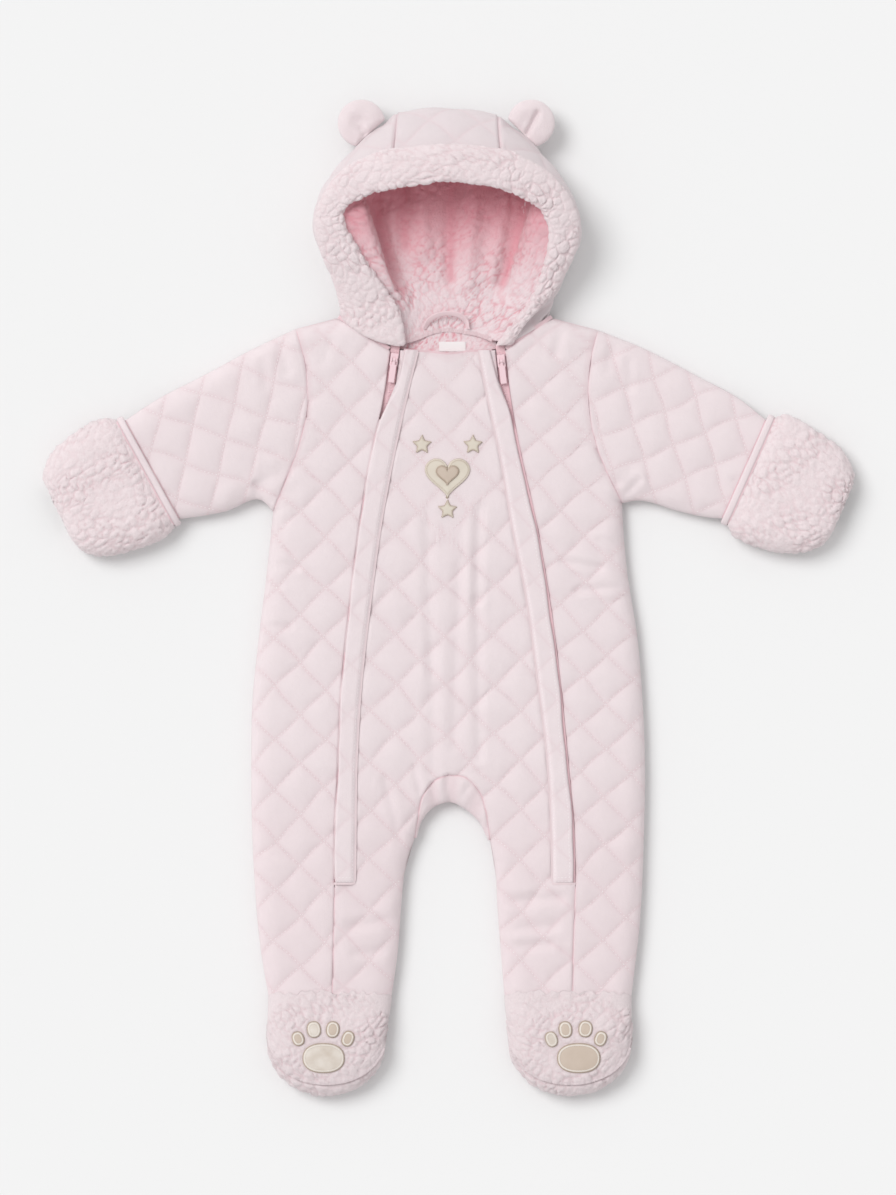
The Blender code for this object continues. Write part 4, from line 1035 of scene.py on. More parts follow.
@dataclass(frozen=True)
class Outline:
    """The laid suit's outline, and how high the cloth lies within it."""

    seam_z: float = 9.0
    seam_edge: float = 0.8
    front_z: float = 18.4
    crown: float = 1.8
    crown_reach: float = 62.0
    edge_round: float = 17.0
    back_round: float = 12.0
    quilt: float = 9.0  # thickness of the padded cloth
    shoulder_left: tuple = ((-125, 224), (-90, 233))
    shoulder_right: tuple = ((124, 223), (86, 233))
    armhole_left: tuple = ((-125, 224), (-118, 198), (-115, 165), (-121, 132), (-133, 99), (-144, 73))
    armhole_right: tuple = ((124, 223), (118, 198), (116, 165), (122, 130), (132, 104), (144, 80))
    side_left: tuple = (
        (-144, 73), (-148, 33), (-156, -33), (-161, -82), (-162, -132), (-160, -220),
        (-154, -290), (-148, -326),
    )
    side_right: tuple = (
        (144, 80), (147, 33), (157, -33), (161, -82), (163, -132), (162, -200),
        (159, -264), (152, -326),
    )
    inner_leg_left: tuple = ((-27, -196), (-34, -216), (-38, -250), (-41, -290), (-46, -326))
    inner_leg_right: tuple = ((35, -198), (39, -216), (41, -250), (44, -290), (47, -326))
    gusset_seam_left: tuple = ((1, -144), (-12, -150), (-20, -161), (-24, -178), (-27, -196))
    gusset_seam_right: tuple = ((1, -144), (16, -147), (26, -157), (32, -176), (35, -198))
    crotch_arch: tuple = (
        (-25.4, -196.6), (-21, -182), (-11, -171), (2, -167), (15, -173), (26.5, -184), (33.4, -198.6),
    )
    sleeve_top_left: tuple = ((-125, 224), (-155, 210), (-204, 184), (-237, 167), (-271, 145), (-309, 122))
    sleeve_low_left: tuple = ((-144, 73), (-153, 82), (-184, 73), (-212, 68), (-229, 66), (-281, 56))
    sleeve_top_right: tuple = ((124, 223), (159, 209), (208, 184), (241, 166), (267, 145.5), (309, 122))
    sleeve_low_right: tuple = ((144, 80), (155, 82), (192, 73), (216, 68), (234, 67), (284, 56))
    folds: tuple = (  # x0, y0, x1, y1, half-width, depth (a ridge where it is negative)
        (-17, 66, -13, -60, 4.5, 0.9),
        (-13, -40, -12, -140, 4.5, 0.7),
        (9, 30, 5, -120, 4.5, 0.8),
        (26, 74, 24.5, 0, 4.0, 1.4),
        (24.5, 0, 26, -130, 4.0, 1.0),
        (17, 60, 17, -20, 4.0, -0.5),
        (-160, 90, -140, 104, 6, 1.7),
        (-150, 82, -128, 92, 6, 1.0),
        (142, 98, 160, 84, 6, 1.7),
        (-146, 33, -124, 26.5, 3.4, 1.4),
        (-151, 16, -138, 12, 3.0, 0.8),
        (-152, -20, -130, -23, 3.2, 1.0),
        (-150, 60, -134, 66, 3.4, 1.0),
        (95, 32, 126, 26.5, 3.4, 1.3),
        (108, 8, 141, 10.5, 3.4, 1.2),
        (126, 50, 141, 45, 3.0, 0.9),
        (-80, -270, -48, -264, 4.5, 1.2),
        (-76, -292, -44, -288, 4.0, 0.9),
        (48, -248, 92, -246, 4.5, 1.5),
        (50, -272, 88, -268, 4.5, 1.3),
        (46, -286, 84, -284, 4.0, 1.1),
        (93, 220, 90, 204, 4, 1.6),
        (-51.6, -148.5, -39.2, -198, 3.6, 0.9),
        (-27, -140, -23, -157, 3.0, 0.9),
        (-0.4, -148, -0.4, -165, 2.6, 1.2),
        (17, -154, 9, -167, 2.6, 1.2),
        (-13, -152, -9, -168, 2.4, 0.9),
        (-96, 214, -104, 196, 4, 0.9),
    )

    def chains(self) -> list[Array]:
        """The chains that the suit rounds down to: sides, inner legs and both sleeves."""
        return [
            smooth_curve(self.shoulder_left, even(3)),
            smooth_curve(self.shoulder_right, even(3)),
            smooth_curve((*self.side_left, (-144, -420)), even(40)),
            smooth_curve((*self.side_right, (148, -420)), even(40)),
            np.array(self.crotch_arch, float),
            smooth_curve((*self.inner_leg_left, (-50, -420)), even(24)),
            smooth_curve((*self.inner_leg_right, (52, -420)), even(24)),
            *(smooth_curve(self.of("sleeve_top", side), even(24)) for side in Side),
            *(smooth_curve(self.of("sleeve_low", side), even(24)) for side in Side),
        ]

    def of(self, name: str, side: Side) -> tuple:
        """One of the outline's lines on one side."""
        return getattr(self, f"{name}_{side}")

    def edge_distance(self, plan: Array) -> Array:
        """How far plan points are in from the outline."""
        return nearest(plan, self.chains())

    def front(self, plan: Array, d: Array) -> Array:
        """Height of the front's outer surface.

        Args:
            plan: Plan points.
            d: How far each is in from the outline.

        Returns:
            One height for each point.
        """
        low = self.seam_z + self.seam_edge
        rounded = low + (self.front_z - low) * quarter_round(d / self.edge_round)
        crown = self.crown * eased(d / self.crown_reach)
        return rounded + crown - fold_depth(plan, self.folds) * eased(d / self.edge_round)

    def back(self, d: Array) -> Array:
        """Height of the underside at distances in from the outline: flat away from its edges."""
        return (self.seam_z - self.seam_edge) * (1 - quarter_round(d / self.back_round))


OUTLINE = Outline()


@dataclass(frozen=True)
class ZipLines:
    """Where both zips run, and the rows that the fronts, tapes and flaps share."""

    top_y: float = 206.0
    end_y: float = -233.0
    underarm_y: float = 110.0
    ankle_y: float = -326.0
    channel: float = 8.3
    arm_rows: tuple = (0, 0.045, 0.2, 0.5, 0.8, 0.955, 1)
    body_rows: int = 14
    center_rows: int = 13
    arc_rows: int = 4
    table: tuple = (  # y, edge of the left channel, of the right one, inner edge of each flap
        (206, -47, 47.4, -24, 25),
        (165, -53, 52.5, -34, 33),
        (124, -62, 60, -43, 42),
        (66, -72, 73, -54, 52),
        (0, -80, 84.5, -63, 65),
        (-66, -87, 93, -70.5, 74),
        (-132, -90, 99.5, -74.5, 82),
        (-198, -93, 105, -75.5, 85.5),
        (-233, -93, 105.5, -76, 86),
        (-280, -94, 104, -77, 86),
        (-326, -95, 103, -78, 86),
    )

    def rows(self, step: float, whole: bool = True) -> Stations:
        """Fine rows between the heights that the panels share.

        Args:
            step: From one fine row to the next.
            whole: Whether they run on past the zips' ends to the ankles.

        Returns:
            The rows.
        """
        arm = self.top_y + (self.underarm_y - self.top_y) * np.array(self.arm_rows)
        to_end = np.linspace(self.underarm_y, self.end_y, self.body_rows - 2)[1:]
        below = np.linspace(self.end_y, self.ankle_y, 4)[1:] if whole else []
        return Stations.between(np.concatenate([arm, to_end, below]), 1.0, step)

    def x(self, y: Array, column: int) -> Array:
        """The x of one of the table's lines at heights y."""
        table = np.array(self.table)[::-1]
        ys, xs = table[:, 0], table[:, column]
        at = np.clip(y, ys[0], ys[-1])
        i = np.clip(np.searchsorted(ys, at, side="right") - 1, 0, len(ys) - 2)
        h = ys[i + 1] - ys[i]
        return hermite(xs, np.gradient(xs, ys), i, (at - ys[i]) / h, h)

    def line(self, y: Array, column: int, offset: float | Array = 0.0) -> Array:
        """One of the table's lines, moved sideways, as plan points."""
        return np.stack([self.x(y, column) + offset, y], axis=1)


ZIPS = ZipLines()


# ================================================================ trunk and legs
@dataclass
class Trunk:
    """The fronts, the back and the crotch gusset, in quilted cloth."""

    finishes: Finishes
    step: float = 1.5
    back_step: float = 2.6
    roll: float = 0.9  # how far the cloth rolls down at its seams
    groove: tuple = (0.1, 1.5)  # depth and half-width of the flaps' seam
    side_columns: tuple = (0, 0.05, 0.17, 0.42, 0.7, 1)
    back_columns: tuple = (0, 0.03, 0.1, 0.3, 0.6, 0.9, 1)
    center_columns: tuple = (-0.25, 0, 0.4, 0.75, 0.94, 1)
    gusset_columns: tuple = (0, 0.45, 0.8, 1)
    neck_space: float = 0.6
    back_neck_y: float = 230.0
    quilt_left: Quilting = Quilting((-142.3, -31.4), (20.6, 20.8), (20.6, -20.8), seed=5)
    quilt_right: Quilting = Quilting((92.8, 35.5), (20.8, 18.6), (20.0, -20.6), seed=15)
    quilt_center: Quilting = Quilting((-43.3, -28.9), (20.6, 20.6), (20.6, -20.6), seed=25)
    flat_spot: tuple = ((0.0, 102.0), (44.0, 48.0))  # middle and reach of the motif's pressed place
    rows: Stations = field(init=False)

    def __post_init__(self) -> None:
        """Works out the rows that the fronts share."""
        self.rows = ZIPS.rows(self.step)

    # ---- edges
    def side_edge(self, side: Side, rows: Stations) -> Array:
        """A side front's outer edge, row by row."""
        arms = len(ZIPS.arm_rows) - 1
        arm = rows.index <= arms
        armhole = np.interp(rows.index[arm], range(arms + 1), ZIPS.arm_rows)
        upper = smooth_curve(OUTLINE.of("armhole", side), armhole)
        share = (rows.index[~arm] - arms) / (rows.index[-1] - arms)
        edge = np.concatenate([upper, smooth_curve(OUTLINE.of("side", side), share)])
        edge[arm, 0] += HALF_GAP * side.inward * (rows.index[arm] < arms)
        return edge

    def center_edge(self, side: Side, rows: Stations) -> Array:
        """The front centre's inner edge: the centre line, the gusset seam and the inner leg."""
        first = ZIPS.center_rows - 1
        second = first + ZIPS.arc_rows
        k = rows.index
        at_gusset = (k[(k > first) & (k <= second)] - first) / ZIPS.arc_rows
        parts = [
            smooth_curve(((1, 203), (1, -144)), k[k <= first] / first),
            smooth_curve(OUTLINE.of("gusset_seam", side), at_gusset),
            smooth_curve(OUTLINE.of("inner_leg", side), (k[k > second] - second) / (k[-1] - second)),
        ]
        return np.concatenate(parts)

    @staticmethod
    def neck_edge(tip: Array, corner: Array, middle: Array, shoulder_points: int) -> Array:
        """A panel's coarse top edge: along the shoulder, then along the neck."""
        shoulder = smooth_curve([tip, corner], even(shoulder_points))
        return np.concatenate([shoulder, corner + (middle - corner) * np.array([[1 / 3], [2 / 3], [1]])])

    # ---- surfaces
    def drop(self, d: Array) -> Array:
        """How far the cloth rolls down at distances from its sewn edges."""
        return roll_down(d, self.roll)

    def center_height(self, plan: Array, d: Array) -> Array:
        """Height of the front centre's quilted surface, away from its own edges."""
        middle, reach = (np.array(v) for v in self.flat_spot)
        pressed = eased(1.6 * (1.35 - np.linalg.norm((plan - middle) / (reach * 0.86), axis=-1)))
        relief = self.quilt_center.relief(plan)
        relief = relief * (1 - 0.75 * pressed) - 0.1 * pressed
        seams = [ZIPS.line(np.linspace(206, -233, 60), c) for c in (3, 4)]
        groove = self.groove[0] * bell(nearest(plan, seams) / self.groove[1])
        return OUTLINE.front(plan, d) + relief * eased(d / 9) - groove

    @staticmethod
    def panel(
        wall: Wall, plan: Array, rows: Stations, columns: Stations, top: Array, d: Array, tone: Array,
    ) -> None:
        """Adds a front panel's grid to a wall.

        Args:
            wall: The wall that takes it.
            plan: The fine plan grid.
            rows: Its rows.
            columns: Its columns.
            top: Heights of the outer surface.
            d: How far each point is in from the suit's outline.
            tone: The share of its own colour at each point; the rest is painted shade.
        """
        low = np.maximum(OUTLINE.seam_z + HALF_GAP, OUTLINE.front(plan, d) - OUTLINE.quilt)
        outer = with_height(plan, np.maximum(top, low + 0.35))
        wall.sheet(outer, with_height(plan, low), rows, columns, tone)

    @staticmethod
    def legs(plan: Array) -> Array:
        """The share of the cloth's own colour down the legs, which lie a little in their own shade."""
        return 1 - 0.16 * eased((-110 - plan[..., 1]) / 110)

    def side_front(self, side: Side) -> Piece:
        """A side front, from the shoulder to the ankle."""
        rows = self.rows
        columns = Stations.between(self.side_columns, 88.0, self.step)
        outer = self.side_edge(side, rows)
        inner = ZIPS.line(rows.values, side.pick(1, 2), -HALF_GAP * side.inward)
        drop = np.array([0, -self.neck_space])
        corner = np.array(OUTLINE.of("shoulder", side)[1]) + drop
        top_edge = columns.along(self.neck_edge(outer[0], corner, inner[0] + drop, 3))
        plan = patch(outer, inner, columns.values, rows.share, top_edge)
        d = OUTLINE.edge_distance(plan)
        arm = rows.index <= len(ZIPS.arm_rows) - 1
        quilting = side.pick(self.quilt_left, self.quilt_right)
        top = OUTLINE.front(plan, d) + quilting.relief(plan) * eased(d / 9)
        near = nearest(plan, (plan[arm, 0], plan[::4, -1], plan[0]))
        top -= self.drop(near)
        wall = Wall()
        self.panel(wall, plan, rows, columns, top, d, quilting.tone(plan) * at_seam(near) * self.legs(plan))
        name = f"side_front_{side}"
        piece = wall.build(f"{name}_cloth", self.finishes.quilted)
        return settle(piece, "quilted_cloth", name, cut=(0.112, 0.572, 0.050), rests=["back_cloth"])

    def center(self) -> Piece:
        """The front centre, in one piece from the neck into both inner legs."""
        rows = self.rows
        columns = Stations.between(self.center_columns, 72.0, self.step)
        wall = Wall()
        for side in Side:
            y = rows.values
            gap = GAP + (ZIPS.channel - GAP) * (y >= ZIPS.end_y - 1) - HALF_GAP
            edge = ZIPS.line(y, side.pick(1, 2), side.inward * gap)
            seam = ZIPS.line(y, side.pick(3, 4))
            inner = self.center_edge(side, rows)
            t = columns.values
            under_flap = patch(edge, seam, 1 - t[t < 0] / t[0])
            plan = np.concatenate([under_flap, patch(seam, inner, t[t >= 0])], axis=1)
            d = OUTLINE.edge_distance(plan)
            top = self.center_height(plan, d)
            covered = eased((0.035 - t[None]) / 0.03) * (y[:, None] > ZIPS.end_y)
            top = top + covered * np.minimum(0, OUTLINE.front(plan, d) - 0.25 - top)
            k = rows.index
            sewn = [plan[::4, 0], plan[0], plan[(k >= ZIPS.center_rows - 1) & (k <= 16), -1]]
            near = nearest(plan, sewn)
            top -= self.drop(near)
            tone = self.quilt_center.tone(plan) * at_seam(near) * self.legs(plan)
            self.panel(wall, plan, rows, columns, top, d, tone)
        piece = wall.build("front_center_cloth", self.finishes.quilted)
        cut = (0.200, 0.530, 0.0715)
        return settle(piece, "quilted_cloth", "front_center_panel", cut=cut, rests=["back_cloth"])

    def back(self) -> None:
        """The back, in one piece, flat where it rests."""
        rows = ZIPS.rows(self.back_step)
        columns = Stations.between(self.back_columns, 155.0, self.back_step)
        quilting = self.quilt_center
        wall = Wall()
        for side in Side:
            outer = self.side_edge(side, rows)
            inner = self.center_edge(side, rows)
            inner[0, 1] = self.back_neck_y
            corner = np.array(OUTLINE.of("shoulder", side)[1], float)
            top_edge = columns.along(self.neck_edge(outer[0], corner, inner[0], 4))
            plan = patch(outer, inner, columns.values, rows.share, top_edge)
            d = OUTLINE.edge_distance(plan)
            valley = np.clip(0.25 * quilting.rise - quilting.relief(plan), 0, None) * eased(d / 8)
            low = OUTLINE.back(d) + np.minimum(valley, 1.2)
            hidden = with_height(plan, OUTLINE.seam_z - HALF_GAP)
            low = with_height(plan, np.minimum(low, OUTLINE.seam_z - 0.5))
            wall.sheet(low, hidden, rows, columns, quilting.tone(plan))
        piece = wall.build("back_cloth", self.finishes.quilted)
        settle(piece, "quilted_cloth", "back_panel", cut=(0.330, 0.560, 0.150))

    def gusset(self) -> Piece:
        """The crotch gusset, folded round the crotch's edge."""
        steps = 2 * ZIPS.arc_rows
        rows = Stations.between(np.arange(steps + 1.0), 14.0, self.step)
        columns = Stations.between(self.gusset_columns, 18.0, self.step)
        k = rows.values
        left = smooth_curve(OUTLINE.gusset_seam_left, 1 - k[k <= steps / 2] / (steps / 2))
        right = smooth_curve(OUTLINE.gusset_seam_right, k[k > steps / 2] / (steps / 2) - 1)
        seam = np.concatenate([left, right])
        arch = smooth_curve(OUTLINE.crotch_arch, k / steps)
        plan = patch(seam + unit(arch - seam) * GAP, arch, columns.values)
        d = OUTLINE.edge_distance(plan)
        pucker = np.sin(k * 4.1 + 0.8 * np.sin(k * 1.7))[:, None] * np.ones(len(columns.values))
        top = OUTLINE.front(plan, d) + 0.9 * pucker * eased(d / 5)
        to_seam = distance_to(plan, plan[:, 0])
        top -= self.drop(to_seam)
        # painted shade at the seam and in the puckers' hollows, and a little over the whole gusset
        tone = at_seam(to_seam) * (0.72 + 0.2 * pucker)
        low = OUTLINE.back(d)
        wall = Wall().fine(with_height(plan, np.maximum(top, low + 0.4)), with_height(plan, low), tone)
        piece = wall.build("gusset_cloth", self.finishes.quilted)
        return settle(piece, "quilted_cloth", "crotch_gusset", fill=0.5)

    def build(self) -> None:
        """Makes every piece of the trunk, and their stitches."""
        rows = self.rows
        self.back()
        gusset = self.gusset()
        center = self.center()
        for side in Side:
            flap_seam = ZIPS.line(rows.values, side.pick(3, 4))
            part = np.concatenate([flap_seam, self.center_edge(side, rows)[::-1]])
            quilt_stitches(f"quilting_center_{side}", center, self.quilt_center, part, self.finishes)
            front = self.side_front(side)
            zip_line = ZIPS.line(rows.values, side.pick(1, 2))
            part = np.concatenate([self.side_edge(side, rows), zip_line[::-1]])
            quilting = side.pick(self.quilt_left, self.quilt_right)
            quilt_stitches(f"quilting_side_{side}", front, quilting, part, self.finishes)
            seam = smooth_curve(OUTLINE.of("gusset_seam", side), even(60))
            seam_line(f"gusset_line_{side}", seam, (gusset, center), self.finishes.seam_shade, 1.2, 0.0)
            leg = ZIPS.line(np.linspace(-237.0, -325.0, 60), side.pick(1, 2))
            seam_line(f"leg_seam_{side}", leg, (front, center), self.finishes.seam_shade, 0.8, -0.2)


QUILT_STITCH = (3.3, 0.62)  # from stitch to stitch, and the share of it that a stitch covers
THREAD = 0.62


def quilt_stitches(name: str, piece: Piece, quilting: Quilting, edge: Array, finishes: Finishes) -> None:
    """Stitches along a panel's quilting lines, laid on its cloth.

    Args:
        name: The stitches' name.
        piece: The panel.
        quilting: Its quilting.
        edge: The outline that they stay within.
        finishes: The suit's finishes.
    """
    ground = Ground(piece)
    rim = [*edge, edge[0]]
    starts, ends, strips = [], [], []
    for line in quilting.lines(edge.min(axis=0), edge.max(axis=0)):
        within = inside(line, edge) & (distance_to(line, rim) > 1.8)
        for part in np.split(line, np.flatnonzero(np.diff(within)) + 1):
            if len(part) > 5 and inside(part[2:3], edge)[0] and distance_to(part[2:3], rim)[0] > 1.8:
                part = np.concatenate([part[:-1:2], part[-1:]])
                strips.append(ground.laid(part, 0.07))
        a, b = stitch_pairs(line, *QUILT_STITCH)
        keep = inside((a + b) / 2, edge) & (distance_to((a + b) / 2, rim) > 3.2)
        starts.append(a[keep])
        ends.append(b[keep])
    starts, ends = (ground.laid(np.concatenate(part), 0.22) for part in (starts, ends))
    # strips of painted shade along the stitched lines
    settle(creases(f"{name}_creases", strips, finishes.crease, 0.65), "quilted_cloth")
    settle(stitched(name, starts, ends, finishes.thread, THREAD), "quilted_cloth")


# ================================================================ sleeves and cuffs
RING_ACROSS = (0, 0.05, 0.2, 0.5, 0.8, 0.95, 1)


def ring_of(top: Array, low: Array) -> Array:
    """Closed rings from the upper and the lower points of a flattened tube, row by row."""
    return np.concatenate([top, low[:, 1:-1][:, ::-1]], axis=1)


@dataclass
class Sleeve:
    """A quilted sleeve: a flattened tube from the armhole into the cuff."""

    finishes: Finishes
    side: Side
    step: float = 1.5
    stations: tuple = (0, 0.06, 0.16, 0.3, 0.46, 0.62, 0.78, 0.9, 1)
    cuff_lift: float = 4.3
    cuff_top: float = 19.2
    into_cuff: tuple = (0.42, 0.22)
    wall: float = 7.0
    linings_apart: float = 0.4
    fold_inset: float = 0.09
    roll: float = 1.2
    quilt_left: Quilting = Quilting((-216.6, 113.9), (26.8, -9.5), (-6.6, -28.9), seed=35)
    quilt_right: Quilting = Quilting((153.0, 145.6), (25.6, 10.7), (8.25, -28.05), seed=45)
    folds_left: tuple = (
        (-160, 80, -150, 108, 5.5, 0.9), (-174, 76, -168, 98, 5, 0.6), (-138, 208, -132, 190, 4.5, 1.2),
        (-152, 196, -150, 176, 4, 0.7), (-252, 76, -240, 96, 4, 0.8),
        (-148, 80, -158, 95, 3.0, 1.6),
    )
    folds_right: tuple = (
        (160, 80, 150, 106, 5.5, 0.9), (176, 76, 168, 98, 5, 0.6), (138, 208, 132, 190, 4.5, 1.0),
        (150, 196, 150, 174, 4, 0.7), (248, 76, 238, 98, 4, 0.8),
        (147, 87, 158, 99, 3.0, 1.4),
    )

    def build(self) -> None:
        """Makes the sleeve and its stitches."""
        side = self.side
        rows = Stations.between(self.stations, 205.0, self.step)
        columns = Stations.between(RING_ACROSS, 115.0, self.step)
        t, along = columns.values, rows.values[:, None]
        armhole = smooth_curve(OUTLINE.of("armhole", side), t)
        armhole[1:-1, 0] -= HALF_GAP * side.inward
        shift = np.array([-HALF_GAP * side.inward, 0])
        first = smooth_curve(OUTLINE.of("sleeve_top", side), rows.values) + shift
        last = smooth_curve(OUTLINE.of("sleeve_low", side), rows.values) + shift
        plan = patch(first, last, t, rows.share, armhole)
        d = OUTLINE.edge_distance(plan)
        into = eased((along - self.into_cuff[0]) / self.into_cuff[1])
        swell = quarter_round(np.minimum(t, 1 - t)[None] / 0.2)
        middle = (self.cuff_lift + self.cuff_top) / 2
        plain_top, plain_under = OUTLINE.front(plan, d), OUTLINE.back(d)
        plain_top += into * (middle + (self.cuff_top - middle) * swell - plain_top)
        plain_under += into * (middle - (middle - self.cuff_lift) * swell - plain_under)

        quilting = side.pick(self.quilt_left, self.quilt_right)
        relief = quilting.relief(plan) * eased(d / 9) * (1 - eased((along - 0.84) / 0.06))
        at_armhole = distance_to(plan, plan[0])
        folds = fold_depth(plan, side.pick(self.folds_left, self.folds_right))
        top = plain_top + relief - folds * eased(d / 8) - roll_down(at_armhole, self.roll)
        low_relief = np.minimum(np.clip(0.25 * quilting.rise - relief, 0, None), 1.2)
        under = plain_under + low_relief * eased(d / 8)
        top = np.maximum(top, under + 1.0)

        center = (1 - into) * OUTLINE.seam_z + into * middle
        inner_top = np.maximum(plain_top - self.wall, center) + self.linings_apart
        inner_low = np.minimum(plain_under + self.wall, center) - self.linings_apart
        start, width = plan[:, :1], plan[:, -1:] - plan[:, :1]
        curved = plan - start - width * t[None, :, None]
        inset = self.fold_inset + (1 - 2 * self.fold_inset) * t
        lining = start + width * inset[None, :, None] + curved * (1 - along[..., None]) ** 2
        outer = ring_of(with_height(plan, top), with_height(plan, under))
        inner = ring_of(with_height(lining, inner_top), with_height(lining, inner_low))
        tone = quilting.tone(plan) * at_seam(at_armhole)
        name = f"sleeve_{side}"
        wall = Wall().tube(outer, inner, rows, columns, ring_of(tone, tone))
        piece = wall.build(f"{name}_cloth", self.finishes.quilted)
        settle(piece, "quilted_cloth", name, cut=(0.300, 0.205, 0.049))
        shown = plan[rows.values < 0.8]
        edge = np.concatenate([shown[0], shown[:, -1], shown[-1][::-1], shown[::-1, 0]])
        quilt_stitches(f"quilting_{name}", piece, quilting, edge, self.finishes)
        front = bpy.data.objects[f"side_front_{side}_cloth"]
        line = smooth_curve(OUTLINE.of("armhole", side), even(110))[1:-2]
        seam_line(f"armhole_seam_{side}", line, (piece, front), self.finishes.seam_shade, 0.8, -0.15)


def flat_rings(a: Array, b: Array, low: Array, high: Array, inset: Array | float, across: Array) -> Array:
    """Flattened rings between plan points a and b.

    Args:
        a: One end of each ring.
        b: The other end.
        low: Each ring's lowest height.
        high: Its highest.
        inset: How far it is drawn in.
        across: Fractions from a to b.

    Returns:
        The rings, one to a row.
    """
    way = unit(b - a) * np.broadcast_to(inset, len(a))[:, None]
    a, b = a + way, b - way
    plan = patch(a, b, across)
    width = np.linalg.norm(b - a, axis=1)[:, None]
    swell = quarter_round(np.minimum(across, 1 - across)[None] * width / (0.16 * width + 6))
    middle = ((low + high) / 2)[:, None]
    return ring_of(
        with_height(plan, middle + (high[:, None] - middle) * swell),
        with_height(plan, middle - (middle - low[:, None]) * swell),
    )


@dataclass
class Cuff:
    """A turned-back sherpa cuff and its bound edge."""

    finishes: Finishes
    side: Side
    pile: Pile
    step: float = 1.15
    binding: float = 6.0
    puff: float = 0.5  # how far the binding bulges
    left: tuple = (  # top point x, y, lower point x, y, height, wall
        (-274, 149, -225, 60, 23.0, 3.4),
        (-283, 150, -236, 50, 26.5, 5.5),
        (-298, 144, -256, 42, 27.5, 6.5),
        (-313, 134, -276, 37, 27.5, 6.5),
        (-326, 122, -292, 37, 26.5, 6.0),
        (-333, 108, -304, 43, 23.0, 5.0),
        (-334, 100, -311, 52, 15.0, 3.0),
    )
    right: tuple = (
        (271, 151, 231, 61, 23.0, 3.4),
        (280, 153, 240, 50, 26.5, 5.5),
        (295, 146, 258, 43, 27.5, 6.5),
        (311, 136, 277, 39, 27.5, 6.5),
        (326, 123, 296, 40, 26.5, 6.0),
        (335, 106, 311, 47, 23.0, 5.0),
        (335, 97, 318, 57, 15.0, 3.0),
    )

    def build(self) -> None:
        """Makes the cuff and its binding."""
        side = self.side
        table = side.pick(self.left, self.right)
        rows = Stations.between(np.arange(len(table)), 13.0, self.step)
        columns = Stations.between(RING_ACROSS, 108.0, self.step)
        t = between_rows(table, rows.values)
        a, b, high, thick = t[:, 0:2], t[:, 2:4], t[:, 4], t[:, 5]
        low = np.where(high < 20, np.maximum(0, 10 - high / 2), 0)
        outer = flat_rings(a, b, low, high, 0.0, columns.values)
        inner = flat_rings(a, b, np.minimum(3.6, low + thick), high - thick, thick, columns.values)
        middle = np.concatenate([(a + b) / 2, ((low + high) / 2)[:, None]], axis=1)[:, None]
        n = outward(outer, middle, closed=True)
        lift, tone = self.pile.lumps(outer)
        to_binding = np.linalg.norm(outer[:, :, :2] - outer[:1, :, :2], axis=-1)
        lift = lift * (0.35 + 0.65 * eased(to_binding / 6))
        outer = outer + n * lift[..., None]
        outer[..., 2] = np.maximum(outer[..., 2], 0.0)
        wall = Wall().tube(outer, inner, rows, columns, tone)
        name = f"cuff_{side}"
        settle(wall.build(f"{name}_pile", self.finishes.sherpa), "sherpa", name, fill=0.5)
        self.build_binding(np.array(table[0], float))

    def build_binding(self, first: Array) -> None:
        """Makes the narrow bound edge towards the elbow.

        Args:
            first: The cuff's first row of numbers.
        """
        a, b, high, thick = first[0:2], first[2:4], first[4], first[5]
        elbow = unit(np.array([a[1] - b[1], b[0] - a[0]])) * self.side.inward
        rows = Stations.between((0.0, 1.0), self.binding, 0.55)
        columns = Stations.between(RING_ACROSS, 102.0, 1.6)
        s = rows.values
        bulge = self.puff * np.sin(math.pi * s) - 0.9 * (1 - quarter_round(np.minimum(s, 1 - s) / 0.22))
        shift = elbow * (GAP + self.binding * s)[:, None]
        start, end = a + shift, b + shift
        low = np.maximum(0, -bulge * 0.4)
        outer = flat_rings(start, end, low, high + bulge, 0.2 - bulge, columns.values)
        outer[..., 2] = np.maximum(outer[..., 2], 0.0)
        ones = np.ones(len(s))
        inner = flat_rings(start, end, 3.4 * ones, (high - thick) * ones, thick, columns.values)
        name = f"cuff_binding_{self.side}"
        cuff = bpy.data.objects[f"cuff_{self.side}_pile"]
        sleeve = bpy.data.objects[f"sleeve_{self.side}_cloth"]
        wall = Wall().tube(outer, inner, rows, columns)
        piece = wall.build(f"{name}_cloth", self.finishes.plain)
        settle(piece, "plain_cloth", name, cut=(0.010, 0.235, 0.0021))
        share = np.linspace(0.02, 0.98, 70)[:, None]
        for label, out, under in (("pile", GAP / 2, cuff), ("sleeve", GAP + self.binding + 0.35, sleeve)):
            line = a + (b - a) * share + elbow * out
            seam_line(f"{name}_{label}_seam", line, (piece, under), self.finishes.seam_shade, 1.5, 0.5)


# ================================================================ booties
def oval(center: Sequence, size: Sequence, turn: float = 0.0, count: int = 48, square: float = 2.0) -> Array:
    """A closed plan outline.

    Args:
        center: Its middle.
        size: Its width and height.
        turn: How far it is turned, in degrees.
        count: How many points it has.
        square: 2 for an ellipse, more for squarer ones.

    Returns:
        The outline's points.
    """
    angle = turns(count)
    x = size[0] / 2 * power(np.cos(angle), 2 / square)
    y = size[1] / 2 * power(np.sin(angle), 2 / square)
    a = math.radians(turn)
    turned = [x * math.cos(a) - y * math.sin(a), x * math.sin(a) + y * math.cos(a)]
    return np.stack(turned, axis=1) + np.array(center, float)


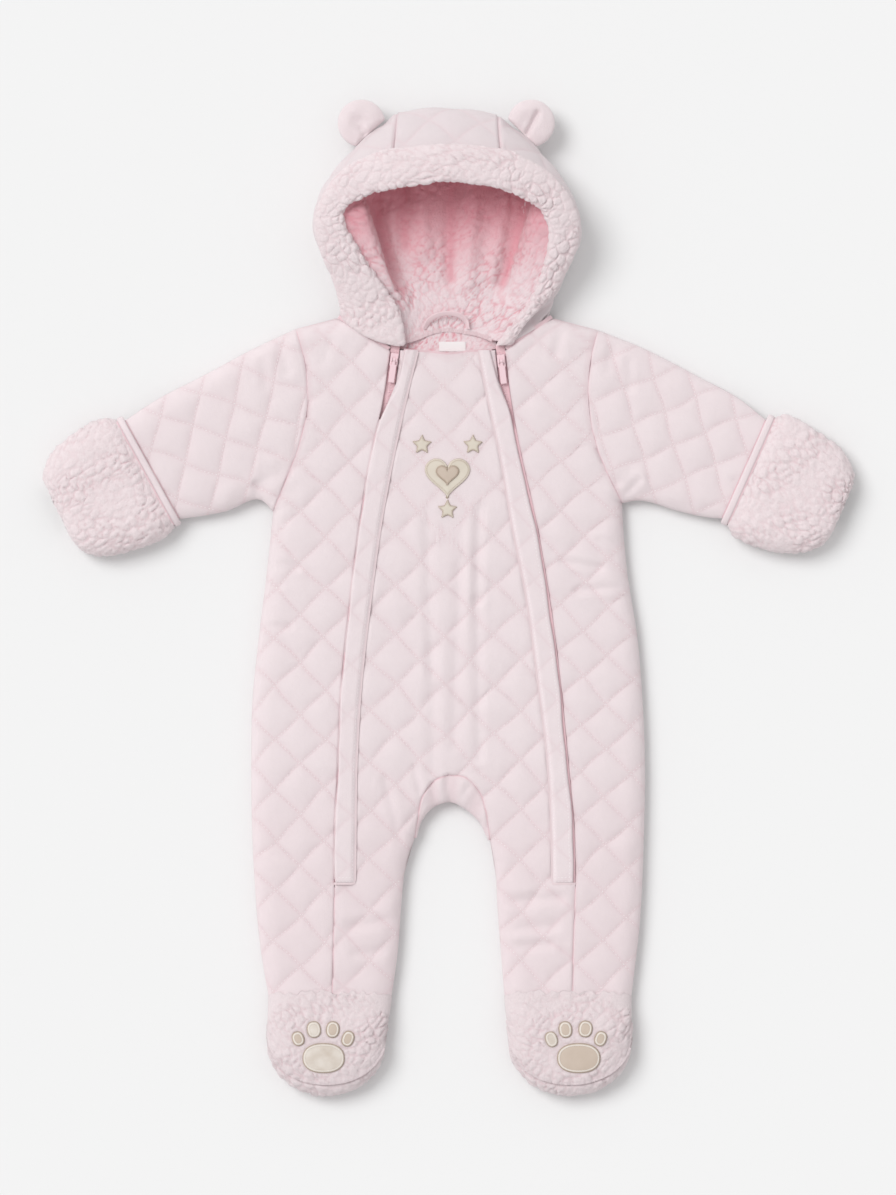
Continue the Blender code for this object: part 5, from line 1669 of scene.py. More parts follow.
@dataclass
class Bootie:
    """A sherpa bootie with a satin paw print on its upper."""

    finishes: Finishes
    side: Side
    pile: Pile
    step: float = 1.2
    high: float = 27.5
    toe_seam_z: float = 12.0
    round: float = 26.0
    wall: float = 12.0
    ankle_y: float = -326.0
    bend: float = -363.0
    tip: float = -409.0
    across: tuple = (-1, -0.93, -0.72, -0.38, 0, 0.38, 0.72, 0.93, 1)
    down: tuple = (0, 0.14, 0.34, 0.55, 0.74, 0.86)
    toe_down: tuple = (0.868, 0.93, 0.975, 1)
    ankle_x: tuple = ((-148, -46), (152, 47))
    toe_x: tuple = ((-149, -51), (152, 50))
    pads_left: tuple = (
        ((-102, -377), (34, 24), 0), ((-123, -361), (9.5, 11.5), 20), ((-110, -353.5), (11, 13), 8),
        ((-94.5, -353.5), (10.5, 13), -6), ((-82, -361), (9.5, 12.5), -20),
    )
    pads_right: tuple = (
        ((108, -377), (35, 24), 0), ((85.5, -361.5), (9.5, 12.5), 20), ((97, -353.5), (10.5, 13), 6),
        ((113.5, -353), (11, 13), -8), ((126, -361), (9.5, 12), -20),
    )
    pad_thick: float = 1.6
    lap: float = 5.0  # how far the pile laps over the leg's end

    def plan(self, across: Array, down: Array) -> Array:
        """Plan grid: columns run from the ankle to the rounded toes."""
        u, v = across[None], down[:, None]
        ankle, toe = self.side.pick(*self.ankle_x), self.side.pick(*self.toe_x)
        end = self.bend - (self.bend - self.tip) * (1 - np.abs(u) ** 2.08) ** (1 / 2.08)
        start = self.ankle_y - GAP
        y = start + v * (end - start)
        t = eased((self.ankle_y - y) / (self.ankle_y - self.bend))
        middle = (sum(ankle) * (1 - t) + sum(toe) * t) / 2
        half = (ankle[1] - ankle[0]) / 2 * (1 - t) + (toe[1] - toe[0]) / 2 * t
        return np.stack([middle + u * half + 0 * v, y + 0 * u], axis=-1)

    def heights(self, plan: Array) -> tuple[Array, Array, Array]:
        """Heights of the upper surface, the underside and the sole's seam at plan points."""
        rim = self.plan(np.array(self.across), np.array(self.down + self.toe_down))
        ankle = self.side.pick(*self.ankle_x)
        outline = np.concatenate([
            [[ankle[0], -250.0]], rim[:, 0], rim[-1, 1:-1], rim[::-1, -1], [[ankle[1], -250.0]],
        ])
        d = distance_to(plan, smooth_curve(outline, even(120)))
        rise = eased((self.ankle_y - plan[..., 1] + 2) / 34)
        seam = OUTLINE.seam_z + (self.toe_seam_z - OUTLINE.seam_z) * rise
        high = OUTLINE.front_z + 1 + (self.high - OUTLINE.front_z - 1) * rise
        reach = OUTLINE.edge_round + (self.round - OUTLINE.edge_round) * rise
        top = seam + OUTLINE.seam_edge + (high - seam - OUTLINE.seam_edge) * quarter_round(d / reach)
        low = (seam - OUTLINE.seam_edge) * (1 - quarter_round(d / OUTLINE.back_round))
        return top, low, seam

    def pressed(self, plan: Array) -> Array:
        """1 where a satin pad presses the pile flat, and 0 away from them."""
        share = np.zeros(plan.shape[:-1])
        for center, size, _ in self.side.pick(self.pads_left, self.pads_right):
            reach = np.linalg.norm((plan - np.array(center)) / (np.array(size) / 2 + 0.6), axis=-1)
            share = np.maximum(share, eased((1.18 - reach) / 0.2))
        return share

    def upper(self) -> Piece:
        """The pile over the foot, which laps over the leg's end in an uneven line."""
        columns = Stations.between(self.across, 50.0, self.step)
        rows = Stations.between(self.down, 83.0, self.step)
        plan = self.plan(columns.values, rows.values)
        top, _, seam = self.heights(plan)
        inside_z = np.maximum(seam + HALF_GAP, top - self.wall)
        coarse = with_height(plan, inside_z)[np.ix_(rows.stops, columns.stops)]
        u = columns.values
        lap = self.lap * (1 - 0.75 * np.abs(u) ** 3) * (0.75 + 0.35 * Waves(11.0, 71).at(plan[0]))
        lap = np.clip(lap, 1.2, None) * eased((1 - np.abs(u)) / 0.05)
        down_from_top = plan[0, :, 1] - plan[:, :, 1]
        plan[..., 1] += lap * bell(down_from_top / 7.0)
        plan[..., 1] -= 1.1 * eased((rows.index[:, None] - len(self.down) + 1.35) / 0.35)
        base = with_height(plan, top + bell(down_from_top / 9.0) * (1 - np.abs(u) ** 3))
        lift, tone = self.pile.lumps(base)
        arc = self.ankle_y + 5.0 - 23.0 * np.abs(u)[None] ** 2.2 + 2.2 * Waves(13.0, 73).at(plan)
        below = eased((arc - plan[..., 1] + 1.5) / 3.0)
        free = (1 - self.pressed(plan)) * below
        lift = lift * free - 0.2 * (1 - free)
        n = outward(base, base.mean(axis=(0, 1)) - [0, 0, 60])
        outer = base + n * lift[..., None]
        outer[..., 2] = np.maximum(outer[..., 2], inside_z + 0.3)
        tip, foot = outer[0].copy(), outer[0].copy()
        foot[:, 1] = self.ankle_y - GAP
        foot[:, 2] = np.maximum(top[0] - 0.6, inside_z[0] + 0.15)
        names = (f"side_front_{self.side}_cloth", "front_center_cloth")
        leg = Ground(*(bpy.data.objects[name] for name in names)).heights(tip[:, :2])
        tip[:, 2] = np.where(leg > 2, leg + 0.2, np.minimum(top[0] + 0.9, outer[0, :, 2] - 0.1))
        outer[0, :, 2] = np.maximum(outer[0, :, 2], tip[:, 2] + 0.3)
        outer = np.concatenate([foot[None], tip[None], outer])
        tone = np.concatenate([tone[:1], tone[:1], np.maximum(tone, 1 - free)])
        stops = np.r_[0, rows.stops[1:] + 2]
        wall = Wall().grid(outer, coarse, stops, columns.stops, tone)
        name = f"bootie_upper_{self.side}"
        return settle(wall.build(f"{name}_pile", self.finishes.foot), "sherpa", name, fill=0.6)

    def sole(self) -> Piece:
        """The sole, which wraps up round the toes."""
        columns = Stations.between(self.across, 50.0, self.step)
        rows = Stations.between(self.down + self.toe_down, 83.0, self.step)
        plan = self.plan(columns.values, rows.values)
        top, low, seam = self.heights(plan)
        hidden = rows.values <= self.down[-1] + 1e-6
        under_upper = np.minimum(seam - HALF_GAP, low + self.wall)
        top[hidden] = under_upper[hidden]
        past = np.clip(rows.values - self.toe_down[0], 0, None)[:, None] * 83.0
        top = np.where(hidden[:, None], top, np.maximum(top - 2.2 * bell(past / 2.2), low + 1.0))
        outer, inner = with_height(plan, top), with_height(plan, low)
        lift, tone = self.pile.lumps(outer)
        toes = eased(past / 3.0)
        n = outward(outer, outer.mean(axis=(0, 1)) - [0, -20, 30])
        outer = outer + n * (lift * toes)[..., None]
        low_lift, _ = self.pile.lumps(inner)
        inner[..., 2] += np.clip(0.8 - low_lift, 0, 1.6)
        inner[..., 2] = np.maximum(inner[..., 2], 0.0)
        inner[0] = with_height(plan[0], low[0])
        inner[-1] = outer[-1] - [0, 0, 1.2]
        inner[:, 0, 2], inner[:, -1, 2] = low[:, 0], low[:, -1]
        outer[..., 2] = np.maximum(outer[..., 2], inner[..., 2] + 0.3)
        wall = Wall().fine(outer, inner, tone)
        name = f"bootie_sole_{self.side}"
        return settle(wall.build(f"{name}_pile", self.finishes.foot), "sherpa", name, fill=0.6)

    def build(self) -> None:
        """Makes the bootie and its paw print."""
        upper = self.upper()
        sole = self.sole()
        toe = self.plan(np.linspace(-0.97, 0.97, 120), np.array([0.864]))[0] - [0, 0.6]
        name = f"toe_seam_{self.side}"
        seam_line(name, toe, (upper, sole), self.finishes.toe_seam, 2.0, 0.1, lower=False)
        for number, (center, size, turn) in enumerate(self.side.pick(self.pads_left, self.pads_right)):
            name = f"paw_pad_{self.side}" if number == 0 else f"paw_toe_{self.side}_{number}"
            outline = oval(center, size, turn, 64 if number == 0 else 40, 2.3)
            # the main left pad and one toe on each foot take the satin with painted highlight
            ivory = self.side is Side.LEFT and number == 2 or self.side is Side.RIGHT and number == 1
            ivory = ivory or (self.side is Side.LEFT and number == 0)
            satin = self.finishes.pad_satin_highlight if ivory else self.finishes.pad
            threads = ((self.finishes.seam, 0.0, 1.0), (self.finishes.ivory, 0.9, 1.6))
            applique(name, upper, outline, self.pad_thick, satin, "pad_satin", threads)


def applique(
    name: str, carrier: Piece, outline: Array, thick: float, finish: Material,
    slot: str, threads: tuple, clear: float = 0.35, cut: tuple | None = None,
) -> Piece:
    """A padded patch sewn on a finished piece, with satin stitch round its edge.

    Args:
        name: The CAD node that it stands for.
        carrier: What it lies on.
        outline: Its plan outline.
        thick: Its thickness.
        finish: Its cloth.
        slot: The record's material slot.
        threads: For each ring of stitches, its thread, how far in it runs and its stitches' length.
        clear: How far the patch stands off its carrier.
        cut: For a flat patch, its cut's width, length and area in metres.

    Returns:
        The patch.
    """
    shares = (1.0, 0.985, 0.95, 0.9, 0.8, 0.65, 0.45, 0.22)
    dome = (0.45, 0.62, 0.74, 0.80, 0.88, 0.95, 0.99, 1.0)
    ground = Ground(carrier)
    middle = outline.mean(axis=0)
    rings = np.stack([middle + (outline - middle) * s for s in shares])
    under = ground.heights(rings) + clear
    z = float(ground.heights(middle[None])[0]) + clear
    top = with_height(rings, under + thick * np.array(dome)[:, None])
    base = with_height(rings[0], under[0] - 0.25)
    points = np.concatenate([base, top.reshape(-1, 3), [[*middle, z + thick], [*middle, z - 0.25]]])
    number = looped(np.arange(len(points) - 2).reshape(-1, len(outline)))
    faces = quads_of(number).tolist()
    for ring, tip in ((number[-1], len(points) - 2), (number[0, ::-1], len(points) - 1)):
        faces += [[int(a), int(b), tip] for a, b in zip(ring[:-1], ring[1:])]
    piece = mesh_object(f"{name}_satin", points, faces, finish)
    settle(piece, slot, name, cut=cut, fill=None if cut else 0.4, rests=[carrier.name] if cut else ())
    surface = Ground(piece, carrier)
    for number, (thread, inset, length) in enumerate(threads):
        closed = np.concatenate([outline, outline[:1]])
        ring = even_rings(outline[None], max(24, int(run_of(closed)[-1] / 0.62)))[0]
        along = unit(np.roll(ring, -1, axis=0) - np.roll(ring, 1, axis=0))
        out = np.stack([along[:, 1], -along[:, 0]], axis=1)
        out *= np.sign(((ring - middle) * out).sum(axis=1).mean())
        starts = surface.laid(ring + out * (0.45 - inset), 0.2)
        ends = np.roll(surface.laid(ring + out * (0.45 - inset - length), 0.2), -1, axis=0)
        settle(stitched(f"{name}_edging_{number}", starts, ends, thread, 1.0), slot)
    return piece


# ================================================================ zips and flaps
@dataclass
class Zip:
    """A zip with its tape, teeth and guard flap; its hard parts stay as they are."""

    finishes: Finishes
    side: Side
    tape_across: tuple = (0.1, 2.3, 5.7, 7.7)
    hidden_rise: float = 3.0  # the tape lies higher where its flap hides it
    tape_drop: float = 3.6
    tooth_pitch: float = 1.5
    flap: float = 2.2
    reveal_left: tuple = ((206, 12.5), (177, 9.8), (160, 3.2), (146, 0.35), (-233, 0.35))
    reveal_right: tuple = ((206, 12.5), (177, 8.5), (160, 3.4), (120, 2.0), (-233, 1.5))
    quilt_rise: float = 0.75
    stitch: tuple = (2.9, 0.68)

    def build_tape(self) -> None:
        """Makes the tape and its closed teeth."""
        side = self.side
        rows = ZIPS.rows(2.0, whole=False)
        columns = Stations.between(self.tape_across, 1.0, 1.0)
        edge = ZIPS.x(rows.values, side.pick(1, 2))
        x = edge[:, None] + side.inward * columns.values[None]
        top = rows.values + 4.5 * bell((rows.values[0] - rows.values) / 3.0)
        plan = np.stack([x, np.repeat(top[:, None], x.shape[1], axis=1)], axis=-1)
        flat = OUTLINE.front(plan, OUTLINE.edge_distance(plan)) - self.tape_drop
        flat = flat + self.hidden_rise * eased((150 - plan[..., 1]) / 12)
        raised = eased(3.0 - np.abs(columns.values - 4.0))[None] * 0.25
        wall = Wall().sheet(with_height(plan, flat + raised), with_height(plan, flat - 1.5), rows, columns)
        name = f"zip_tape_{side}"
        tape = wall.build(f"{name}_cloth", self.finishes.tape)
        settle(tape, "zip_tape", name, cut=(0.012, 0.445, 0.0050), rests=[f"side_front_{side}_cloth"])
        y = np.arange(ZIPS.top_y - 1.5, ZIPS.end_y + 1.5, -self.tooth_pitch)
        middle = ZIPS.line(y, side.pick(1, 2), side.inward * ZIPS.channel / 2)
        z = OUTLINE.front(middle, OUTLINE.edge_distance(middle)) - self.tape_drop + 0.35
        z = z + self.hidden_rise * eased((150 - y) / 12)
        swing = np.where(np.arange(len(y)) % 2, 0.45, -0.45)[:, None] * [[1.0, 0.0]]
        starts = with_height(middle + swing - [1.5, 0.0], z)
        ends = with_height(middle + swing + [1.5, 0.0], z)
        settle(stitched(f"zip_teeth_{side}", starts, ends, self.finishes.plastic, 1.25), "zip_plastic")

    def build_flap(self) -> None:
        """Makes the flap that lies on the front centre, and its stitches."""
        side = self.side
        rows = ZIPS.rows(1.5, whole=False)
        columns = Stations.between((0.0, 0.5, 1.0), 19.0, 0.8)
        y, t = rows.values, columns.values[None]
        edge = ZIPS.line(y, side.pick(1, 2), side.inward * (ZIPS.channel + HALF_GAP))
        seam = ZIPS.line(y, side.pick(3, 4))
        table = side.pick(self.reveal_left, self.reveal_right)
        knots = np.array(table)
        reveal = np.interp(-y, -knots[:, 0], knots[:, 1])
        reveal = np.convolve(np.pad(reveal, 9, mode="edge"), np.hanning(21)[1:-1] / 10.0, mode="valid")
        ripple = 0.35 * np.sin(y / 17.0 + side.inward) + 0.25 * np.sin(y / 7.3)
        free = ZIPS.line(y, side.pick(1, 2), side.inward * (reveal - ripple))
        plan = patch(free, seam, columns.values)
        lies = np.stack([edge, seam], axis=1)
        z = OUTLINE.front(lies, OUTLINE.edge_distance(lies)) + GAP
        share = np.clip((plan[..., 0] - edge[:, :1]) / (seam - edge)[:, :1], 0, 1)
        low = z[:, :1] + share * (z[:, 1:] - z[:, :1])
        width = np.abs(seam - free)[:, :1]
        from_free, from_seam, from_end = t * width, (1 - t) * width, (y - y[-1])[:, None] + 0 * t
        top = low + self.flap * (0.25 + 0.75 * quarter_round(from_free / 1.8)) * (
            0.14 + 0.86 * eased(from_seam / 4.5)) * (0.45 + 0.55 * quarter_round(from_end / 1.4))
        quilting = side.pick(Trunk.quilt_left, Trunk.quilt_right)
        relief = quilting.relief(plan) * self.quilt_rise / quilting.rise
        inside_it = eased(from_free / 4) * eased(from_seam / 4) * eased(from_end / 5)
        top += (relief - 0.35 * bell((from_end - 2.5) / 1.2)) * inside_it
        # painted shade along the quilting's lines and at the seam
        tone = (0.35 + 0.65 * quilting.tone(plan)) * at_seam(from_seam)
        wall = Wall().sheet(with_height(plan, top), with_height(plan, low), rows, columns, tone)
        name = f"zip_flap_{side}"
        piece = wall.build(f"{name}_cloth", self.finishes.quilted)
        settle(piece, "plain_cloth", name, cut=(0.022, 0.440, 0.0090), rests=["front_center_cloth"])
        self.stitch_flap(piece, free, seam)
        center = bpy.data.objects["front_center_cloth"]
        shade = self.finishes.crease
        seam_line(f"flap_seam_{side}", seam[1:-1], (piece, center), shade, 1.1, 0.05, lower=False)
        front = bpy.data.objects[f"side_front_{side}_cloth"]
        end = free[-1] + (seam[-1] - free[-1]) * (1.1 * even(20)[:, None] - 0.12) - [0, 0.7]
        seam_line(f"flap_end_{side}", end, (piece, center, front), shade, 1.8, 0.05, lower=False)
        if side is Side.LEFT:
            gap = free[(y < 150) & (y > y[-1] + 2)] - [side.inward * 0.4, 0]
            seam_line(f"flap_edge_{side}", gap, (piece, front), shade, 1.2, 0.1)

    def stitch_flap(self, piece: Piece, free: Array, seam: Array) -> None:
        """Sews the flap down: a line beside its seam and two across its end.

        Args:
            piece: The flap.
            free: Its free edge.
            seam: Its sewn edge.
        """
        width = (seam - free)[:, :1]
        out = np.sign(width)
        beside = seam - out * [[2.6, 0]]
        lines = [beside[2:-1]]
        if self.side is Side.RIGHT:
            lines.append(free[60:-1] + out[60:-1] * [[3.2, 0]])
        for up in (1.0, 4.4):
            start, end = free[-1] + [out[-1, 0] * 1.0, up], seam[-1] + [-out[-1, 0] * 1.6, up]
            lines.append(np.linspace(start, end, 30))
        pairs = [stitch_pairs(line, *self.stitch) for line in lines]
        ground = Ground(piece)
        starts, ends = (ground.laid(np.concatenate(p), 0.05) for p in zip(*pairs))
        name = f"topstitching_flap_{self.side}"
        settle(stitched(name, starts, ends, self.finishes.thread), "plain_cloth")

    def build(self) -> None:
        """Makes the zip's cloth, and finishes its hard parts."""
        self.build_tape()
        self.build_flap()
        for part in ("zip_slider", "zip_pull"):
            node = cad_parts[f"{part}_{self.side}"]
            node.data.materials.clear()
            node.data.materials.append(self.finishes.plastic)


# ================================================================ hood
def lattice(grid: Array, rows: Stations, columns: Stations) -> Array:
    """A coarse grid of points read smoothly at finer rows and columns."""
    tall = between_rows(grid, rows.index)
    return np.swapaxes(between_rows(np.swapaxes(tall, 0, 1), columns.index), 0, 1)


def cloth_distances(surface: Array) -> Array:
    """Two lengths for each point of a grid, along its columns and along its rows."""
    steps = [np.linalg.norm(np.diff(surface, axis=1 - a), axis=-1).mean(axis=a) for a in (0, 1)]
    across, along = (np.r_[0, np.cumsum(step)] for step in steps)
    return np.stack(np.broadcast_arrays(across[None], along[:, None]), axis=-1)


@dataclass
class Hood:
    """The hood: brim, sides, centre strip and lining."""

    finishes: Finishes
    brim_pile: Pile
    lining_pile: Pile
    brim: tuple = (  # inner edge x, y, z; outer edge x, y, z; outermost point of the hood x, y, z
        (-34, 209, 21, -87, 231, 15, -89, 233.6, 9),
        (-40, 240, 27, -90, 248, 21, -88, 247, 10),
        (-55, 261, 34, -96, 267, 28, -94, 267, 13),
        (-70, 283, 41, -104, 285, 36, -102, 285, 16),
        (-83, 306, 47, -109, 304, 42, -108, 304, 18),
        (-85, 318, 50, -107, 321, 46, -107, 322, 18),
        (-77, 326, 54, -98, 340, 51, -99, 343, 19),
        (-61, 333, 58, -81, 356, 55, -86, 362, 20),
        (-48, 336, 61, -64, 364, 58, -66, 383, 20),
        (-35, 338, 63, -47, 369, 60, -43, 402, 20),
        (0, 342, 65, 0, 373, 62, 0, 406.5, 20),
        (34, 338.5, 63, 46, 369, 60, 43, 400, 20),
        (47, 335, 61, 63, 362, 58, 66, 381, 20),
        (60, 330, 58, 81, 352, 55, 86, 358, 20),
        (73, 322, 54, 97, 336, 50, 98, 340, 19),
        (81, 311, 49, 107, 315, 45, 107, 316, 18),
        (83, 294, 43, 108, 295, 39, 107, 295, 17),
        (79, 272, 36, 100, 275, 31, 100, 276, 15),
        (71, 251, 29, 87, 253, 25, 92, 254, 12),
        (57, 231, 24, 69, 234, 22, 88, 243, 10),
        (40, 212.5, 21, 53.5, 213, 20, 87, 235.2, 9),
    )
    inside: tuple = (  # two points on the way in from each inner edge; then y on the spine
        (-26, 215, 14.5, -14, 221, 12.6, 222.5),
        (-32, 243, 17, -20, 243, 12.6, 238),
        (-46, 262, 30, -36, 262, 13, 254),
        (-55, 281, 35, -46, 280, 13, 270),
        (-63, 303, 40, -53, 300, 13, 290),
        (-67, 317, 43, -57, 316, 13, 308),
        (-69, 331, 40, -60, 336, 14, 326),
        (-58, 348, 36, -55, 358, 15, 344),
        (-48, 358, 39, -44, 376, 16, 358),
        (-34, 366, 40, -32, 386, 17, 368),
        (0, 370, 41, 0, 390, 17, 376),
        (33, 366, 40, 32, 385, 17, 368),
        (47, 358, 39, 45, 374, 16, 358),
        (59, 347, 36, 58, 356, 15, 344),
        (71, 330, 40, 61, 336, 15, 326),
        (71, 310, 38, 54, 314, 12.6, 308),
        (71, 292, 34, 49, 296, 12.6, 290),
        (66, 270, 28, 46, 276, 12.6, 270),
        (59, 250, 22, 40, 256, 12.8, 254),
        (46, 232, 17, 28, 236, 12.8, 238),
        (31, 216, 14.5, 16, 221, 12.6, 222.5),
    )
    inside_folds: tuple = (  # x0, y0, x1, y1, half-width, depth
        (-38, 352, -35, 292, 4.5, 4.0),
        (-24, 352, -19, 290, 8.0, -5.0),
        (3, 352, 2, 266, 5.0, 4.5),
        (21, 352, 18, 262, 8.0, -5.0),
        (64, 330, 45, 262, 4.6, 4.8),
        (50, 340, 36, 268, 6.0, -3.5),
        (74, 316, 57, 258, 7.0, -3.0),
        (-61, 330, -40, 256, 4.5, 5.0),
        (-71, 318, -50, 258, 6.0, -3.0),
    )
    seams: tuple = (9, 11)
    across: tuple = (0, 0.12, 0.26, 0.42, 0.6, 0.8, 1)
    inside_across: tuple = (0, 0.14, 0.3, 0.46, 0.64, 0.82, 1)
    brim_thick: float = 10.0
    brim_square: tuple = (0.7, 0.9)
    neck_bend_left: tuple = (-1.9, -4.2, -0.4)  # how far the brim's ends bend down to the neck
    neck_bend_right: tuple = (-0.6, -2.6, -0.4)
    neck_swell: tuple = (1.6, -3.2, 5.5)
    wall: float = 6.5
    lap: float = 3.0
    under_brim: float = 0.5
    swell: float = 5.0
    tuck: float = 13.0
    seam_space: float = 0.8
    nape_y: float = 237.0
    middle: tuple = (0.0, 300.0, 25.0)
    under_left: tuple = ((-44, 396, 5), (-43, 384, 0), (-40, 300, 0), (-40, 231.9, 0))
    under_right: tuple = ((44, 394, 5), (43, 382, 0), (40, 300, 0), (40, 231.9, 0))
    lining_wall: float = 3.2
    neck_z: float = 17.0
    spine_z: float = 12.6
    inside_middle: tuple = (0.0, 290.0, 34.0)
    quilting: Quilting = Quilting((6.0, 10.0), (20.6, 20.6), (20.6, -20.6), rise=1.3, seed=55)
    step: float = 1.7

    def frames(self, at: Array) -> tuple:
        """Inner edge, outer edge, middle, outward and upward directions of the brim.

        Args:
            at: Station numbers.

        Returns:
            The five, each with one row for each station.
        """
        table = between_rows(self.brim, at)
        inner, outer = table[:, 0:3], table[:, 3:6]
        middle = (inner + outer) / 2
        out = unit(outer - inner)
        up = unit(np.cross(out, np.gradient(middle, axis=0)))
        return inner, outer, middle, out, up * np.sign(up[:, 2:3])

    def build_brim(self) -> None:
        """Makes the brim: the sherpa lining turned out round the face opening."""
        at = np.linspace(0, 20, 440)
        inner, outer, middle, out, up = self.frames(at)
        half = np.linalg.norm(outer - inner, axis=1)
        run = run_of(middle)
        to_end = np.minimum(run, run[-1] - run)
        ends = (0.35 + 0.65 * quarter_round((to_end + 0.4) / 5.0))[:, None, None]
        a = turns(240)[None, :, None]
        reach = power(np.cos(a), self.brim_square[0]) * half[:, None, None] / 2
        rise = power(np.sin(a), self.brim_square[1]) * self.brim_thick / 2 * ends
        rings = middle[:, None] + out[:, None] * reach * (0.8 + 0.2 * ends) + up[:, None] * rise
        soft = 0.55 + 0.45 * eased((0.9 - np.cos(a)) / 0.9) + 0 * reach
        rings = even_rings(np.concatenate([rings, soft], axis=-1), 104)
        rings, soft = rings[..., :3], rings[..., 3]
        across = ((rings - middle[:, None]) * out[:, None]).sum(axis=-1) / (half[:, None] / 2)
        bend = bell(run / 12)[:, None] * np.clip(1 - across**2, 0, 1)
        rings = rings + bend[..., None] * self.neck_bend_left
        rings = rings + bell((run[-1] - run) / 9)[:, None, None] * np.array(self.neck_bend_right)
        lift, tone = self.brim_pile.lumps(rings)
        n = outward(rings, middle[:, None], closed=True)
        rings = rings + n * (lift * soft * (0.3 + 0.7 * eased(to_end / 6)[:, None]))[..., None]
        piece = ring_mesh("hood_brim_pile", rings, self.finishes.sherpa, tone)
        settle(piece, "sherpa", "hood_brim", fill=0.6)

    def shell(self) -> Array:
        """The hood's coarse outer surface, from under the brim round to the underside."""
        stations = np.arange(21.0)
        _, outer, _, out, up = self.frames(stations)
        widest = np.array(self.brim, float)[:, 6:9]
        start = outer - out * self.lap - up * (self.brim_thick / 2 + self.under_brim)
        first, second = self.seams
        rows = []
        for k in range(21):
            if k <= first:
                end = smooth_curve(self.under_left, [1 - k / first])[0]
            elif k >= second:
                end = smooth_curve(self.under_right, [(k - second) / first])[0]
            else:
                end = (np.array(self.under_left[0]) + np.array(self.under_right[0])) / 2
            outwards = (widest[k] - end) * [1, 1, 0]
            reach = np.linalg.norm(outwards)
            outwards /= max(reach, 1e-6)
            floor = widest[k] - outwards * min(self.tuck, 0.6 * reach)
            floor[2] = 0.0 if reach > 20 else min(end[2] + 2, widest[k][2])
            swell = min(self.swell, 0.2 * np.linalg.norm(start[k] - widest[k])) * (0 < k < 20)
            between = (start[k] + widest[k]) / 2 + outwards * swell
            row = smooth_curve([start[k], between, widest[k], floor, end], self.across)
            row[:, 2] = np.maximum(row[:, 2], 0)
            rows.append(row)
        return np.array(rows)

    def hidden(self, grid: Array) -> Array:
        """The inner face of a hood panel, a wall's thickness in."""
        inner = grid - outward(grid, np.array(self.middle)) * self.wall
        low = np.maximum(0.4, 1 - grid[..., 2] / 12.0) * self.wall
        inner[..., 2] = np.maximum(inner[..., 2], np.minimum(grid[..., 2] + low, self.wall))
        over_back = (grid[..., 1] < self.nape_y) & (grid[..., 2] > OUTLINE.seam_z - 1)
        floor = np.maximum(inner[..., 2], OUTLINE.seam_z + GAP)
        inner[..., 2] = np.where(over_back, floor, inner[..., 2])
        return inner

    def panel(self, name: str, coarse: Array, inner: Array, spans: tuple, sewn: tuple, cut: tuple) -> None:
        """Makes a hood panel from its coarse grids.

        Args:
            name: The CAD node.
            coarse: The outer face.
            inner: The inner face.
            spans: About how long one step between its rows and its columns is.
            sewn: Which of its first row, last row, first column and last column are sewn.
            cut: The width, length and area of its cut.
        """
        rows = Stations.between(np.arange(float(coarse.shape[0])), spans[0], self.step)
        columns = Stations.between(np.arange(float(coarse.shape[1])), spans[1], self.step)
        surface = lattice(coarse, rows, columns)
        place = cloth_distances(surface)
        size = place[-1, -1]
        edges = [place[..., 1], size[1] - place[..., 1], place[..., 0], size[0] - place[..., 0]]
        d = np.min([e for e, is_sewn in zip(edges, sewn) if is_sewn], axis=0)
        d_all = np.min(edges, axis=0)
        flat = eased((surface[..., 2] - 1.0) / 6.0)
        lift = self.quilting.relief(place) * eased(d_all / 7) * flat
        lift -= 2.2 * (1 - quarter_round(d / 2.4)) * flat
        outer = surface + outward(surface, np.array(self.middle)) * lift[..., None]
        if name == "hood_side_right":
            at_neck = bell(edges[1] / 9.0) * (columns.index[None] < 2) * eased((outer[..., 2] - 8) / 3)
            outer += at_neck[..., None] * self.neck_swell
        outer[..., 2] = np.maximum(outer[..., 2], 0)
        # painted shade along the quilting's lines and at the seams
        tone = (0.25 + 0.75 * self.quilting.tone(place)) * at_seam(d)
        wall = Wall().grid(outer, inner, rows.stops, columns.stops, tone)
        settle(wall.build(f"{name}_cloth", self.finishes.hood), "quilted_cloth", name, cut=cut)

    def build_shell(self) -> None:
        """Makes both sides and the centre strip."""
        rows = self.shell()
        first, second = self.seams
        left, right = rows[: first + 1], rows[second:]
        left_in, right_in = self.hidden(left), self.hidden(right)
        left_in[0, :, 1] = np.maximum(left_in[0, :, 1], left[0, :, 1] + 0.2)
        right_in[-1, :, 1] = np.maximum(right_in[-1, :, 1], right[-1, :, 1] + 0.2)
        self.panel("hood_side_left", left, left_in, (24, 17), (1, 1, 0, 0), (0.185, 0.215, 0.0160))
        self.panel("hood_side_right", right, right_in, (24, 17), (1, 1, 0, 0), (0.185, 0.215, 0.0160))

        apart = np.array([self.seam_space, 0, 0])
        west, west_in = (np.concatenate([g[-1], g[-2::-1, -1]]) + apart for g in (left, left_in))
        east, east_in = (np.concatenate([g[0], g[1:, -1]]) - apart for g in (right, right_in))
        over = rows[first + 1][:-1]
        under = (west[len(over):] + east[len(over):]) / 2
        middle = np.concatenate([over, under])
        t = even(5)[None, :, None]
        bend = middle[:, None] - (west + east)[:, None] / 2
        grid = west[:, None] * (1 - t) + east[:, None] * t + bend * 4 * t * (1 - t)
        inner = self.hidden(grid)
        inner[:, 0], inner[:, -1] = west_in, east_in
        self.panel("hood_center_panel", grid, inner, (17, 22), (0, 0, 1, 1), (0.096, 0.270, 0.0240))

